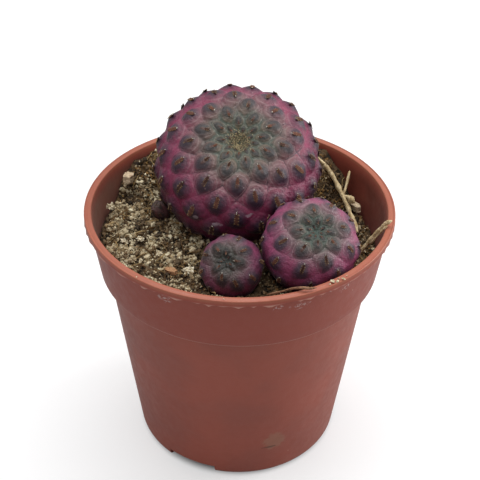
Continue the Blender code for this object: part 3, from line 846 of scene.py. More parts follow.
def mound_fields(stem, ways):
    """For each direction: distances to its own tubercle and from a furrow, and place across and along."""
    spots = on_ball(stem.polar, stem.around)
    east = np.stack([-np.sin(stem.around), np.cos(stem.around), 0.0 * stem.around], axis=-1)
    south = np.cross(east, spots)
    spread = stem.spacing(stem.polar)
    across = ways @ east.T - np.sum(spots * east, axis=1)
    along = ways @ south.T - np.sum(spots * south, axis=1)
    deep = ways @ spots.T - 1.0
    petal = 0.54 + 0.22 * (1.0 - smooth_step(0.2, PETAL_REACH, stem.polar))
    reach = np.sqrt((across / (0.5 * spread)) ** 2 + (along / (petal * spread)) ** 2
                    + (deep / (0.5 * spread)) ** 2)
    order = np.argsort(reach, axis=1)[:, :2]
    rows = np.arange(len(ways))
    first, second = order[:, 0], order[:, 1]
    own, other = reach[rows, first], reach[rows, second]
    return {"own": own, "border": other - own, "across": across[rows, first] / spread[first],
            "along": along[rows, first] / spread[first]}


def stem_shape(stem, ways):
    """Distance of the skin from the stem's middle in each direction, and the fields it came from."""
    fields = mound_fields(stem, ways)
    polar = np.arccos(np.clip(ways[:, 2], -1.0, 1.0))
    fields["polar"] = polar
    spread = stem.spacing(polar)
    strength = np.clip(spread / 0.34, 0.3, 1.0) * (1.0 - 0.72 * smooth_step(1.75, 2.35, polar))
    tight = 1.0 - smooth_step(0.55, 1.0, polar)
    reach = np.clip(fields["own"] / 1.12, 0.0, 1.0)
    dome = 1.0 - reach ** 2
    mound = 0.5 + 0.5 * np.cos(math.pi * reach)
    mound += (0.25 + 0.45 * tight) * (dome - mound)
    furrow = np.exp(-(fields["border"] / 0.16) ** 2)
    ridge = np.exp(-(fields["across"] / 0.085) ** 2 - ((fields["along"] + 0.02) / 0.21) ** 2)
    size = 1.0 - CROWN_DIP * np.exp(-(polar / CROWN_DIP_SPREAD) ** 2)
    size += TUBERCLE_DEPTH * strength * (mound - 0.72) * (1.0 + 0.35 * tight)
    size -= TUBERCLE_DEPTH * strength * (0.04 + 0.36 * tight) * furrow
    size += RIDGE_HEIGHT * strength * ridge
    fields["ridge"] = ridge
    stretch = 0.40 + 0.14 * smooth_step(0.5, 1.0, polar)
    fields["scale"] = np.hypot(fields["across"] / 0.34, (fields["along"] - 0.09) / stretch)
    return size, fields


# %% Grow the stems
def stem_points(stem, ways, size):
    """The world places of directions on a stem."""
    above, below = stem.heights
    local = ways * (stem.radius * size)[:, None]
    local[:, 2] *= np.where(ways[:, 2] > 0.0, above, below)
    if stem.root:
        down = stem.turn.T @ np.array([0.0, 0.0, -1.0])
        depth = local @ down
        aside = np.linalg.norm(local - depth[:, None] * down, axis=1)
        pull = np.clip(1.0 - aside / ROOT_RADIUS, 0.0, 1.0) * (depth > 0.0)
        local += down * (stem.root * pull)[:, None]
    return local @ stem.turn.T + stem.centre


def grow(name, stem):
    """One stem's mesh, with the fields that its skin reads."""
    mesh = mesh_of(name, lambda made: bmesh.ops.create_icosphere(made, subdivisions=stem.detail, radius=1.0))
    ways = read_points(mesh)
    ways /= np.linalg.norm(ways, axis=1)[:, None]
    size, fields = stem_shape(stem, ways)
    write_points(mesh, stem_points(stem, ways, size))
    for key in ("border", "polar", "ridge", "scale"):
        store(mesh, key, fields[key])
    lee = fields["along"] * smooth_step(0.0, 0.3, fields["border"])
    store(mesh, "lee", lee)
    aside = np.maximum(np.hypot(ways[:, 0], ways[:, 1]), 1e-6)[:, None]
    store(mesh, "streak", np.hstack([ways[:, :2] / aside, 0.3 * fields["polar"][:, None]]), "FLOAT_VECTOR")
    mesh.shade_smooth()
    return linked(name, mesh)


heads = {name: grow(name, stem) for name, (_, stem) in STEMS.items()}
for name, (cad_node, _) in STEMS.items():
    low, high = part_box(cad_node)
    points = read_points(heads[name].data) / MM
    print(name, "grown", points.min(0).round(1), points.max(0).round(1),
          "plain", [round(v / MM, 1) for v in (*low, *high)])

# %% [markdown]
# ## The skin
# The skin is waxy and changes colour from the crown down: grey-green round the growing point, dusty pink on
# the shoulders, strong magenta at the waist and a deep maroon below, made darker there still as painted shade
# where the skin faces down. Each tubercle carries a slate-coloured scale, and a thin pale line runs round its
# foot with a darker one just outside. Ramps over the stored `polar` number give the zones, and the stored
# distances place scale and lines, so nothing can slide off the relief. Every stem has zones of its own, and
# the main one has a few pale glints low down, which are painted highlights. The sheen's strength is one
# number, so it sits on the shader itself.

# %% Colours of the skin
# stem: ((share of the way from crown to root, colour), ...) for the skin, the scales and the pale lines; the
# colours hold painted shade as well, darker towards the root where the skin faces down
SHADED_SKIN_ZONES = {
    "main_stem": [
        (0.0, (0.105, 0.078, 0.034)), (0.07, (0.095, 0.074, 0.043)), (0.13, (0.120, 0.080, 0.062)),
        (0.20, (0.185, 0.078, 0.088)), (0.29, (0.245, 0.034, 0.085)), (0.40, (0.178, 0.015, 0.056)),
        (0.51, (0.120, 0.012, 0.042)), (0.80, (0.05, 0.008, 0.022))],
    "right_offset": [
        (0.0, (0.012, 0.010, 0.006)), (0.07, (0.037, 0.034, 0.022)), (0.13, (0.094, 0.076, 0.060)),
        (0.20, (0.175, 0.095, 0.106)), (0.29, (0.280, 0.068, 0.130)), (0.38, (0.315, 0.060, 0.145)),
        (0.51, (0.170, 0.016, 0.068)), (0.80, (0.07, 0.010, 0.028))],
    "front_offset": [
        (0.0, (0.007, 0.005, 0.003)), (0.07, (0.017, 0.012, 0.008)), (0.13, (0.042, 0.029, 0.023)),
        (0.20, (0.105, 0.060, 0.062)), (0.29, (0.170, 0.052, 0.092)), (0.37, (0.220, 0.042, 0.100)),
        (0.51, (0.150, 0.016, 0.060)), (0.80, (0.06, 0.009, 0.024))],
    "left_pup": [
        (0.0, (0.070, 0.050, 0.036)), (0.25, (0.095, 0.036, 0.038)), (0.7, (0.055, 0.018, 0.020))],
}
SHADED_SCALE_ZONES = {
    "main_stem": [
        (0.0, (0.026, 0.024, 0.012)), (0.08, (0.022, 0.023, 0.019)), (0.16, (0.038, 0.034, 0.036)),
        (0.24, (0.044, 0.028, 0.044)), (0.35, (0.028, 0.016, 0.032)), (0.56, (0.030, 0.011, 0.022)),
        (0.80, (0.018, 0.008, 0.013))],
    "right_offset": [
        (0.0, (0.006, 0.005, 0.004)), (0.07, (0.010, 0.010, 0.008)), (0.16, (0.046, 0.039, 0.037)),
        (0.29, (0.060, 0.044, 0.062)), (0.40, (0.064, 0.036, 0.062)), (0.56, (0.036, 0.014, 0.028)),
        (0.80, (0.018, 0.008, 0.013))],
    "front_offset": [
        (0.0, (0.005, 0.005, 0.004)), (0.08, (0.010, 0.009, 0.007)), (0.17, (0.026, 0.022, 0.020)),
        (0.30, (0.052, 0.037, 0.050)), (0.42, (0.052, 0.028, 0.046)), (0.80, (0.018, 0.008, 0.013))],
    "left_pup": [
        (0.0, (0.036, 0.026, 0.020)), (0.5, (0.026, 0.014, 0.014))],
}
SHADED_LINE_ZONES = {
    "main_stem": [
        (0.0, (0.20, 0.17, 0.09)), (0.12, (0.24, 0.21, 0.17)), (0.24, (0.34, 0.22, 0.24)),
        (0.36, (0.28, 0.10, 0.16)), (0.50, (0.10, 0.02, 0.05))],
    "right_offset": [
        (0.0, (0.07, 0.07, 0.045)), (0.12, (0.18, 0.16, 0.13)), (0.24, (0.34, 0.23, 0.26)),
        (0.38, (0.34, 0.14, 0.23)), (0.50, (0.16, 0.03, 0.08))],
    "front_offset": [
        (0.0, (0.03, 0.025, 0.02)), (0.12, (0.09, 0.072, 0.062)), (0.24, (0.22, 0.15, 0.17)),
        (0.38, (0.24, 0.10, 0.16)), (0.50, (0.10, 0.02, 0.05))],
    "left_pup": [
        (0.0, (0.14, 0.10, 0.07)), (0.5, (0.10, 0.05, 0.04))],
}
VALLEY_TEAL = (0.036, 0.080, 0.064)
CORK = (0.075, 0.030, 0.020)
# the pale colour of painted highlights: glints low on the main stem
PAINTED_GLINT = (0.42, 0.34, 0.38)
TEAL_SHARES = {"main_stem": 0.7, "right_offset": 0.75, "front_offset": 0.2, "left_pup": 0.0}
# place and reach of each painted highlight, a pale glint low on the main stem, in millimetres
PAINTED_GLINT_PATCHES = (((1.9, -6.8, 51.2), (1.1, 0.8, 0.42)), ((-4.1, -6.7, 49.1), (1.3, 0.8, 0.5)),
                 ((-7.7, -5.4, 49.9), (0.6, 0.6, 0.5)), ((6.6, -5.6, 52.6), (0.5, 0.5, 0.5)))


# %% Lay the skin
def make_skin(cad_node):
    """Ground colour with painted shade first, then valleys, scales, rings, lines, corky ridges, freckles and
    painted glints.
    """
    finish, tree, shader = new_finish(cad_node + "_skin", Specular_IOR_Level=0.40, Sheen_Weight=0.045,
                                      Sheen_Roughness=0.4)
    where = object_place(tree)
    border, ridge, lee, near = (attribute(tree, key) for key in ("border", "ridge", "lee", "scale"))
    polar = maths(tree, "DIVIDE", attribute(tree, "polar"), math.pi)
    wander = maths(tree, "SUBTRACT", noise_value(tree, where, 160.0, 3.0), 0.5)
    zone = maths(tree, "MULTIPLY_ADD", wander, 0.14, polar)
    # the ramps' colours hold painted shade: they darken towards the root, where the skin faces down
    shaded_skin_tint, shaded_scale_tint, shaded_line_tint = (ramp(tree, zone, zones[cad_node])
                                        for zones in (SHADED_SKIN_ZONES, SHADED_SCALE_ZONES, SHADED_LINE_ZONES))
    streaks = noise_value(tree, attribute(tree, "streak", "Vector"), 9.0, 5.0, 0.62)
    blotch = maths(tree, "MULTIPLY_ADD", noise_value(tree, where, 420.0, 4.0, 0.6), 0.6,
                   maths(tree, "MULTIPLY", streaks, 0.5))
    colour = blend(tree, span(tree, blotch, 0.50, 0.76, 0.0, 0.42), shaded_skin_tint, shaded_scale_tint)
    upper = span(tree, zone, 0.34, 0.22)
    teal = maths(tree, "MULTIPLY", span(tree, border, 0.6, 0.05), span(tree, zone, 0.20, 0.11))
    colour = blend(tree, maths(tree, "MULTIPLY", teal, TEAL_SHARES[cad_node]), colour, VALLEY_TEAL)
    grain = maths(tree, "SUBTRACT", noise_value(tree, where, 1100.0, 4.0, 0.6), 0.5)
    edge = maths(tree, "MULTIPLY_ADD", grain, 0.9, near)
    colour = blend(tree, span(tree, edge, 1.32, 0.45, 0.0, 0.95), colour, shaded_scale_tint)
    rings = maths(tree, "SINE", maths(tree, "MULTIPLY_ADD", wander, 9.0, maths(tree, "MULTIPLY", near, 17.0)))
    rings = maths(tree, "MULTIPLY", span(tree, rings, 0.2, 1.0), span(tree, near, 0.7, 1.1))
    rings = maths(tree, "MULTIPLY", rings, maths(tree, "MULTIPLY_ADD", upper, 0.25, 0.08))
    colour = blend(tree, rings, colour, shaded_line_tint)
    gap = maths(tree, "MULTIPLY_ADD", wander, 0.16, border)
    pale = maths(tree, "MULTIPLY", span(tree, gap, 0.04, 0.12), span(tree, gap, 0.30, 0.13))
    pale = maths(tree, "MULTIPLY", pale, maths(tree, "MULTIPLY_ADD", span(tree, lee, -0.05, 0.2), 0.75, 0.1))
    pale = maths(tree, "MULTIPLY", pale, maths(tree, "MULTIPLY_ADD", upper, 0.66, 0.02))
    colour = blend(tree, pale, colour, shaded_line_tint)
    dark = maths(tree, "MULTIPLY", span(tree, gap, 0.09, 0.0), maths(tree, "MULTIPLY_ADD", upper, 0.75, 0.03))
    colour = blend(tree, dark, colour, shaded_scale_tint)
    colour = blend(tree, span(tree, ridge, 0.25, 0.85, 0.0, 0.85), colour, CORK)
    freckles = specks(tree, where, 1500.0, 0.12, 0.24)
    colour = blend(tree, maths(tree, "MULTIPLY", freckles, 0.35), colour, shaded_line_tint)
    if cad_node == "main_stem":
        # painted highlights: pale glints low on the main stem
        for middle, reach in PAINTED_GLINT_PATCHES:
            patch = smudge(tree, where, sized(*middle), sized(*reach), 1300.0, 1.6)
            colour = blend(tree, maths(tree, "MULTIPLY", patch, 0.6), colour, PAINTED_GLINT)
    rough = span(tree, noise_value(tree, where, 900.0, 3.0), 0.2, 0.8, 0.30, 0.52)
    feed(tree, shader, Base_Color=colour, Roughness=rough,
         Normal=relief(tree, where, 900.0, 4200.0, 0.4, 0.00036))
    return finish


for name, (cad_node, _) in STEMS.items():
    settle_in(heads[name], make_skin(cad_node), "bud" if cad_node == "left_pup" else "cactus", cad_node)

# %% [markdown]
# ## Areoles: comb spines, felt and wool
# Every tubercle ends in an areole, a narrow cushion of felt that lies along the meridian. Two rows of short
# spines lie flat on it like the teeth of a comb, and the end that faces the crown has a tuft of white wool.
# The main stem's bare crown is matted with dry wool, strewn over points packed in a spiral of their own.
# A Geometry Nodes tree places them: it starts from one point per areole, which carries its own frame
# (`along` the meridian and `out` of the skin) and its size, makes copies of the point, spreads them along
# the cushion on both sides and puts an instance on each. One tree serves felt, spines and wool with
# different inputs. Its last nodes realise the instances and give them their material.

# %% Points for the areoles
AREOLE_STEP_UP = 0.10
CROWN_SPOTS = 70
CROWN_REACH = 0.16
GOLDEN_TURN = 137.5


def skin_points(name, stem, polar, around, sizes):
    """A mesh of points on a stem's skin, with their frames and sizes."""
    ways = on_ball(polar, around)
    size, _ = stem_shape(stem, ways)
    places = stem_points(stem, ways, size)
    above, below = stem.heights
    out = ways / np.stack([np.ones(len(ways)), np.ones(len(ways)), np.where(ways[:, 2] > 0, above, below)], 1)
    out /= np.linalg.norm(out, axis=1)[:, None]
    east = np.stack([-np.sin(around), np.cos(around), 0.0 * around], axis=-1)
    along = np.cross(east, out)
    mesh = bpy.data.meshes.new(name)
    mesh.from_pydata([tuple(place) for place in places], [], [])
    store(mesh, "out", out @ stem.turn.T, "FLOAT_VECTOR")
    store(mesh, "along", along @ stem.turn.T, "FLOAT_VECTOR")
    store(mesh, "size", sizes)
    return linked(name, mesh)


def areole_points(name, stem):
    """One point per areole, a little towards the crown from the middle of its tubercle."""
    spacing = stem.spacing(stem.polar)
    polar = np.maximum(stem.polar - AREOLE_STEP_UP * spacing, 0.02)
    sizes = np.clip(spacing * stem.radius / (6.2 * MM), 0.16, 1.0)
    sizes *= 1.0 - 0.45 * smooth_step(1.8, 2.3, stem.polar)
    return skin_points(name, stem, polar, stem.around, sizes)


def crown_points(name, stem):
    """Points packed evenly over the bare crown, for its wool."""
    index = np.arange(CROWN_SPOTS)
    polar = CROWN_REACH * np.sqrt((index + 0.5) / CROWN_SPOTS)
    sizes = np.full(CROWN_SPOTS, stem.radius / (15.0 * MM))
    return skin_points(name, stem, polar, index * math.radians(GOLDEN_TURN), sizes)


# %% Small shapes that get instanced
def hull_lump(name, seed, points=13, stretch=(1.0, 0.8, 0.6)):
    """An angular crumb about 1 across: the hull of a few random points."""
    draw = np.random.default_rng(seed)

    def recipe(made):
        for way in draw.normal(size=(points, 3)):
            way = way / np.linalg.norm(way) * 0.5 * draw.uniform(0.75, 1.0)
            made.verts.new([float(part * scale) for part, scale in zip(way, stretch)])
        hull = bmesh.ops.convex_hull(made, input=made.verts)
        inner = [part for part in hull["geom_interior"] if isinstance(part, bmesh.types.BMVert)]
        bmesh.ops.delete(made, geom=inner, context="VERTS")
        bmesh.ops.recalc_face_normals(made, faces=made.faces)
    return linked(name, mesh_of(name, recipe))


def spine_shape(name):
    """One comb spine, 1 long on +Z, thick at its foot and bent a little."""
    route = [Vector((0.10 * t * t, 0.0, t)) for t in (0.0, 0.35, 0.7, 1.0)]
    mesh = mesh_of(name, lambda made: loft_into(made, route, (0.06, 0.085, 0.075, 0.02), 4))
    return linked(name, mesh)


def felt_shape(name):
    """The cushion under an areole, 1 long on X."""
    def recipe(made):
        bmesh.ops.create_uvsphere(made, u_segments=8, v_segments=5, radius=0.5)
        bmesh.ops.scale(made, vec=(1.0, 0.32, 0.11), verts=made.verts)
    return linked(name, mesh_of(name, recipe))


# %% Helpers for trees that place shapes
def new_shape_tree(name, inputs):
    tree = bpy.data.node_groups.new(name, "GeometryNodeTree")
    tree.interface.new_socket(name="Geometry", in_out="INPUT", socket_type="NodeSocketGeometry")
    for label, kind, default in inputs:
        socket = tree.interface.new_socket(name=label, in_out="INPUT", socket_type="NodeSocket" + kind)
        if default is not None:
            socket.default_value = default
    tree.interface.new_socket(name="Geometry", in_out="OUTPUT", socket_type="NodeSocketGeometry")
    return tree, node(tree, "NodeGroupInput").outputs, node(tree, "NodeGroupOutput").inputs


def vector_maths(tree, operation, *values):
    keys = {0: values[0]}
    if operation == "SCALE":
        keys[3] = values[1]
    else:
        keys.update(enumerate(values[1:], start=1))
    return node(tree, "ShaderNodeVectorMath", keys, operation=operation).outputs[0]


def random_number(tree, low, high, seed):
    made = node(tree, "FunctionNodeRandomValue", data_type="FLOAT")
    for index, value in ((2, low), (3, high), (8, seed)):
        connect(tree, made.inputs[index], value)
    return made.outputs[1]


def named(tree, name, kind="FLOAT"):
    return node(tree, "GeometryNodeInputNamedAttribute", {"Name": name}, data_type=kind).outputs[0]


def finish_tree(tree, instances, result, material, seed):
    """Give each instance a tone from 0 to 1, realise all of them and set their material."""
    toned = node(tree, "GeometryNodeStoreNamedAttribute", {"Geometry": instances, "Name": "tone"},
                 data_type="FLOAT", domain="INSTANCE")
    tree.links.new(random_number(tree, 0.0, 1.0, seed), toned.inputs["Value"])
    real = node(tree, "GeometryNodeRealizeInstances", {"Geometry": toned.outputs[0]})
    dressed = node(tree, "GeometryNodeSetMaterial", {"Geometry": real.outputs[0], "Material": material})
    tree.links.new(dressed.outputs[0], result["Geometry"])


# %% Build the areole tree
def make_areole_tree():
    tree, given, result = new_shape_tree("on_areoles", [
        ("Shape", "Object", None), ("Copies", "Int", 1), ("Run", "Float", 0.0), ("Start", "Float", 0.0),
        ("Apart", "Float", 0.0), ("Rise", "Float", 1.0), ("Fan", "Float", 0.0), ("Lift", "Float", 0.0),
        ("Smallest", "Float", 0.001), ("Largest", "Float", 0.001), ("Seed", "Int", 1),
        ("Material", "Material", None)])
    copies = node(tree, "GeometryNodeDuplicateElements",
                  {"Geometry": given["Geometry"], "Amount": given["Copies"]}, domain="POINT")
    number = copies.outputs["Duplicate Index"]
    half = maths(tree, "FLOOR", maths(tree, "MULTIPLY", number, 0.5))
    pairs = maths(tree, "SUBTRACT", maths(tree, "MULTIPLY", given["Copies"], 0.5), 1.0)
    pairs = maths(tree, "MAXIMUM", pairs, 1.0)
    station = maths(tree, "SUBTRACT", maths(tree, "DIVIDE", half, pairs), 0.5)
    side = maths(tree, "MULTIPLY_ADD", maths(tree, "MODULO", number, 2.0), 2.0, -1.0)
    along, out = (named(tree, key, "FLOAT_VECTOR") for key in ("along", "out"))
    size = named(tree, "size")
    across = vector_maths(tree, "CROSS_PRODUCT", out, along)
    down = maths(tree, "MULTIPLY_ADD", station, given["Run"], given["Start"])
    jitter = random_number(tree, -0.00018, 0.00018, given["Seed"])
    offset = vector_maths(tree, "SCALE", along, maths(tree, "ADD", down, jitter))
    offset = vector_maths(tree, "ADD", offset, vector_maths(
        tree, "SCALE", across, maths(tree, "MULTIPLY", side, given["Apart"])))
    offset = vector_maths(tree, "ADD", offset, vector_maths(tree, "SCALE", out, given["Lift"]))
    moved = node(tree, "GeometryNodeSetPosition", {"Geometry": copies.outputs["Geometry"],
                                                   "Offset": vector_maths(tree, "SCALE", offset, size)})
    sideways = vector_maths(tree, "SCALE", across,
                            maths(tree, "MULTIPLY", side, maths(tree, "SUBTRACT", 1.0, given["Rise"])))
    upwards = vector_maths(tree, "SCALE", out, maths(
        tree, "ADD", given["Rise"], random_number(tree, -0.08, 0.10, given["Seed"])))
    fanned = vector_maths(tree, "SCALE", along, maths(tree, "MULTIPLY", station, given["Fan"]))
    heading = vector_maths(tree, "ADD", vector_maths(tree, "ADD", sideways, upwards), fanned)
    turned = node(tree, "FunctionNodeAxesToRotation", {"Primary Axis": heading, "Secondary Axis": along},
                  primary_axis="Z", secondary_axis="X")
    shape = node(tree, "GeometryNodeObjectInfo", {"Object": given["Shape"]})
    scale = random_number(tree, given["Smallest"], given["Largest"], given["Seed"])
    scale = maths(tree, "MULTIPLY", scale, size)
    placed = node(tree, "GeometryNodeInstanceOnPoints", {
        "Points": moved.outputs[0], "Instance": shape.outputs["Geometry"],
        "Rotation": turned.outputs[0], "Scale": scale})
    finish_tree(tree, placed.outputs[0], result, given["Material"], given["Seed"])
    return tree


# %% Run a tree, and finishes for spines, felt and wool
def run_tree(name, tree, base, **inputs):
    """Run a tree on a copy of a base object and return the result as a plain mesh piece."""
    piece = linked(name, base.data.copy())
    runner = piece.modifiers.new("run", "NODES")
    runner.node_group = tree
    for item in tree.interface.items_tree:
        key = item.name.replace(" ", "_")
        if item.in_out == "INPUT" and key in inputs:
            runner[item.identifier] = inputs[key]
    return baked(piece)


def make_hair(name, dark, light, roughness=0.6):
    """Spine and felt finish: each piece has its own tone between two colours."""
    finish, tree, shader = new_finish(name, Specular_IOR_Level=0.35)
    where = object_place(tree)
    tone = span(tree, attribute(tree, "tone"), 0.15, 0.85)
    mottle = span(tree, noise_value(tree, where, 2200.0, 3.0), 0.3, 0.7, 0.75, 1.2)
    colour = blend(tree, tone, dark, light)
    colour = blend(tree, 1.0, colour, node(tree, "ShaderNodeCombineColor", {
        0: mottle, 1: mottle, 2: mottle}).outputs[0], "MULTIPLY")
    feed(tree, shader, Base_Color=colour, Normal=relief(tree, where, 3000.0, 9000.0, 0.4, 0.00006))
    shader.inputs["Roughness"].default_value = roughness
    return finish


AREOLE_TREE = make_areole_tree()
SPINE_FINISH = make_hair("golden_spines", (0.065, 0.030, 0.016), (0.40, 0.26, 0.115), 0.45)
FELT_FINISH = make_hair("brown_felt", (0.048, 0.017, 0.012), (0.12, 0.044, 0.028), 0.9)
WOOL_FINISH = make_hair("white_wool", (0.30, 0.28, 0.20), (0.66, 0.65, 0.54), 0.9)
CROWN_FINISH = make_hair("crown_wool", (0.05, 0.038, 0.02), (0.52, 0.42, 0.24), 0.9)

# %% Put felt, spines and wool on every stem
spine, felt, tuft = spine_shape("spine_shape"), felt_shape("felt_shape"), hull_lump("tuft_shape", 3)
# what: (shape, finish, copies, run, start, apart, rise, fan, lift, smallest, largest); rise and fan are
# shares, the copies a count, and the rest millimetres
AREOLE_PARTS = {
    "felt": (felt, FELT_FINISH, 1, 0.0, 0.0, 0.0, 1.0, 0.0, -0.04, 2.4, 2.9),
    "comb_spines": (spine, SPINE_FINISH, 26, 2.1, 0.0, 0.20, -0.10, 0.3, 0.07, 0.20, 0.34),
    "wool": (tuft, WOOL_FINISH, 3, 0.3, -1.3, 0.07, 1.0, 0.0, 0.08, 0.13, 0.29),
    "crown_wool": (spine, CROWN_FINISH, 6, 0.5, 0.0, 0.15, 0.45, 0.9, 0.0, 0.25, 0.60),
}
for head_name, (cad_node, stem) in STEMS.items():
    bases = [areole_points("areoles", stem)] * 3 + [crown_points("crown", stem)]
    label = head_name.removeprefix("cactus_").replace("_cactus", "").replace("_head", "")
    for number, (part, sizes) in enumerate(AREOLE_PARTS.items()):
        shape, finish, copies, run, start, apart, rise, fan, lift, smallest, largest = sizes
        if part == "crown_wool" and cad_node != "main_stem":
            continue
        piece = run_tree(f"{label}_{part}", AREOLE_TREE, bases[number], Shape=shape, Copies=copies,
                         Run=run * MM, Start=start * MM, Apart=apart * MM, Rise=rise, Fan=fan, Lift=lift * MM,
                         Smallest=smallest * MM, Largest=largest * MM, Seed=5 + number, Material=finish)
        settle_in(piece, finish, "bud" if cad_node == "left_pup" else "cactus")
    for base in bases[2:]:
        bpy.data.objects.remove(base, do_unlink=True)
for shape in (spine, felt, tuft):
    bpy.data.objects.remove(shape, do_unlink=True)

# %% [markdown]
# ## The soil
# The compost fills the pot to about 5 mm below the rim, heaped against the wall behind and sunk at the
# right. It is one closed solid: a turned outline whose top ring by ring becomes a height field. Under a
# stem the field dips to just below the stem's skin, so the stem sits in a socket. A ray sent straight up
# from far below finds that skin. Lumps of three sizes come from noise; the crumbs that lie loose on top
# are made in the next step.

# %% Soil sizes and height
SOIL_LEVEL = POT_HEIGHT - 5.4 * MM
SOIL_GAP = 0.3 * MM
HEAP_RISE = 4.3 * MM
HEAP_EDGE = 13.5 * MM
HEAP_SKEW = 0.07
HEAP_BLEND = 4.0 * MM
RIGHT_FALL = 3.6 * MM
LEFT_FALL = 1.2 * MM
# (height, spacing) of the soil's lumps, clods and crumbs
LUMPS = ((0.35 * MM, 8.0 * MM), (0.85 * MM, 2.3 * MM), (0.30 * MM, 0.9 * MM))
SOIL_SEGMENTS = 300
SOIL_RINGS = 72


def soil_height(x, y):
    """Height of the soil: low at the right, a little low at the left, heaped against the back wall."""
    height = SOIL_LEVEL - RIGHT_FALL * smooth_step(14.0 * MM, 24.0 * MM, x)
    height -= LEFT_FALL * smooth_step(16.0 * MM, 25.0 * MM, -x)
    edge = HEAP_EDGE + HEAP_SKEW * x
    height += HEAP_RISE * smooth_step(edge - HEAP_BLEND, edge + HEAP_BLEND, y)
    spot = Vector((x, y, 0.0))
    for depth, spacing in LUMPS:
        height += depth * noise.noise(spot / spacing)
    return float(height)


# %% Sockets under the stems
def search_tree(piece):
    return BVHTree.FromPolygons([point.co for point in piece.data.vertices],
                                [tuple(face.vertices) for face in piece.data.polygons])


HEAD_TREES = [search_tree(head) for head in heads.values()]


def underside(x, y):
    """Height of the lowest skin straight above or below a place, or None away from every stem."""
    hits = [tree.ray_cast(Vector((x, y, -POT_HEIGHT)), Vector((0, 0, 1)))[0] for tree in HEAD_TREES]
    return min((hit.z for hit in hits if hit), default=None)


def make_soil_mesh():
    """The bed: turned like the pot's inside, with a height field on top and a socket under each stem."""
    bottom = FLOOR_TOP + SOIL_GAP
    floor_edge = fillet((0.0, bottom), (inner_radius(FLOOR_TOP) - SOIL_GAP, bottom),
                        (inner_radius(STEP_Z) - SOIL_GAP, STEP_Z), INNER_FILLET)
    edge = inner_radius(SOIL_LEVEL) - SOIL_GAP
    top = [(edge * ring / SOIL_RINGS, SOIL_LEVEL) for ring in range(SOIL_RINGS + 1)]
    side = [(inner_radius(STEP_Z + WALL) - SOIL_GAP, STEP_Z + WALL + SOIL_GAP),
            (inner_radius(STEP_Z) - SOIL_GAP, STEP_Z + SOIL_GAP)]
    mesh = revolve("soil_bed", top + side + floor_edge[::-1] + [(0.0, bottom)], SOIL_SEGMENTS)
    points = read_points(mesh)
    for index in np.flatnonzero(points[:, 2] > SOIL_LEVEL - 0.01 * MM):
        x, y = points[index, :2]
        height = soil_height(x, y)
        skin = underside(x, y)
        spread = (inner_radius(height) - SOIL_GAP) / edge
        socket = skin is not None and skin - SOIL_GAP < height
        points[index] = (x, y, skin - SOIL_GAP) if socket else (x * spread, y * spread, height)
    write_points(mesh, points)
    mesh.shade_smooth()
    return mesh


soil_bed = linked("soil_bed", make_soil_mesh())

# %% [markdown]
# ## What the soil looks like
# Close to, compost is a dark crumbly humus with paler grit and fibres in it. The bed's finish is the dark
# humus: noise at two scales picks between near-black, brown and ochre, and a strong bump makes it
# crumbly. The loose pieces have finishes of their own, each with a tone that changes from piece to piece.

# %% Soil and litter finishes
HUMUS_DARK = (0.020, 0.014, 0.009)
HUMUS_BROWN = (0.11, 0.068, 0.034)
HUMUS_OCHRE = (0.20, 0.125, 0.055)


def make_soil_finish():
    finish, tree, shader = new_finish("potting_soil", Specular_IOR_Level=0.25, Roughness=0.95)
    where = object_place(tree)
    brown = span(tree, noise_value(tree, where, 700.0, 4.0), 0.38, 0.62)
    colour = blend(tree, brown, HUMUS_DARK, HUMUS_BROWN)
    ochre = span(tree, noise_value(tree, where, 1300.0, 3.0), 0.56, 0.68)
    colour = blend(tree, maths(tree, "MULTIPLY", ochre, 0.7), colour, HUMUS_OCHRE)
    feed(tree, shader, Base_Color=colour,
         Normal=relief(tree, where, 1100.0, 3600.0, 0.5, 0.0009))
    return finish


def make_mineral(name, dark, light, stain, roughness=0.85):
    """Grit and crumbs: a tone for each piece, a stain in patches, and a pitted surface."""
    finish, tree, shader = new_finish(name, Specular_IOR_Level=0.3, Roughness=roughness)
    where = object_place(tree)
    colour = blend(tree, attribute(tree, "tone"), dark, light)
    patch = span(tree, noise_value(tree, where, 1500.0, 4.0), 0.45, 0.68)
    colour = blend(tree, maths(tree, "MULTIPLY", patch, 0.75), colour, stain)
    feed(tree, shader, Base_Color=colour,
         Normal=relief(tree, where, 2600.0, 7000.0, 0.5, 0.00020))
    return finish


settle_in(soil_bed, make_soil_finish(), "soil", "potting_soil")
GRIT_FINISH = make_mineral("pumice_grit", (0.34, 0.245, 0.13), (0.78, 0.70, 0.49), (0.27, 0.185, 0.09))
HUMUS_FINISH = make_mineral("humus_crumbs", (0.020, 0.014, 0.009), (0.25, 0.165, 0.085), (0.05, 0.034, 0.019))
GOLD_FINISH = make_mineral("golden_peat", (0.075, 0.036, 0.012), (0.34, 0.19, 0.060), (0.09, 0.045, 0.016))
FIBRE_FINISH = make_hair("dry_fibre", (0.13, 0.070, 0.026), (0.46, 0.32, 0.14), 0.75)

# %% [markdown]
# ## Loose grit, crumbs and fibres
# Thousands of small pieces lie on the bed. A second Geometry Nodes tree scatters them: points over the
# faces, as many as a density attribute on the bed allows, then one of several shapes on each with its own
# turn, size and tone. The densities are painted by rule before the tree runs: pale grit on the open
# crescent at the left, dark crumbs all over, golden crumbs of peat on the heap behind and at the right,
# most of the fibres on the heap, and nothing under a stem or against the wall. Grit is only 20 or so faces
# a piece, which suits crushed stone as well as the triangle count.


# %% Densities on a copy of the bed's top
WALL_CLEARANCE = 0.9 * MM
STEM_CLEARANCE = 0.35 * MM


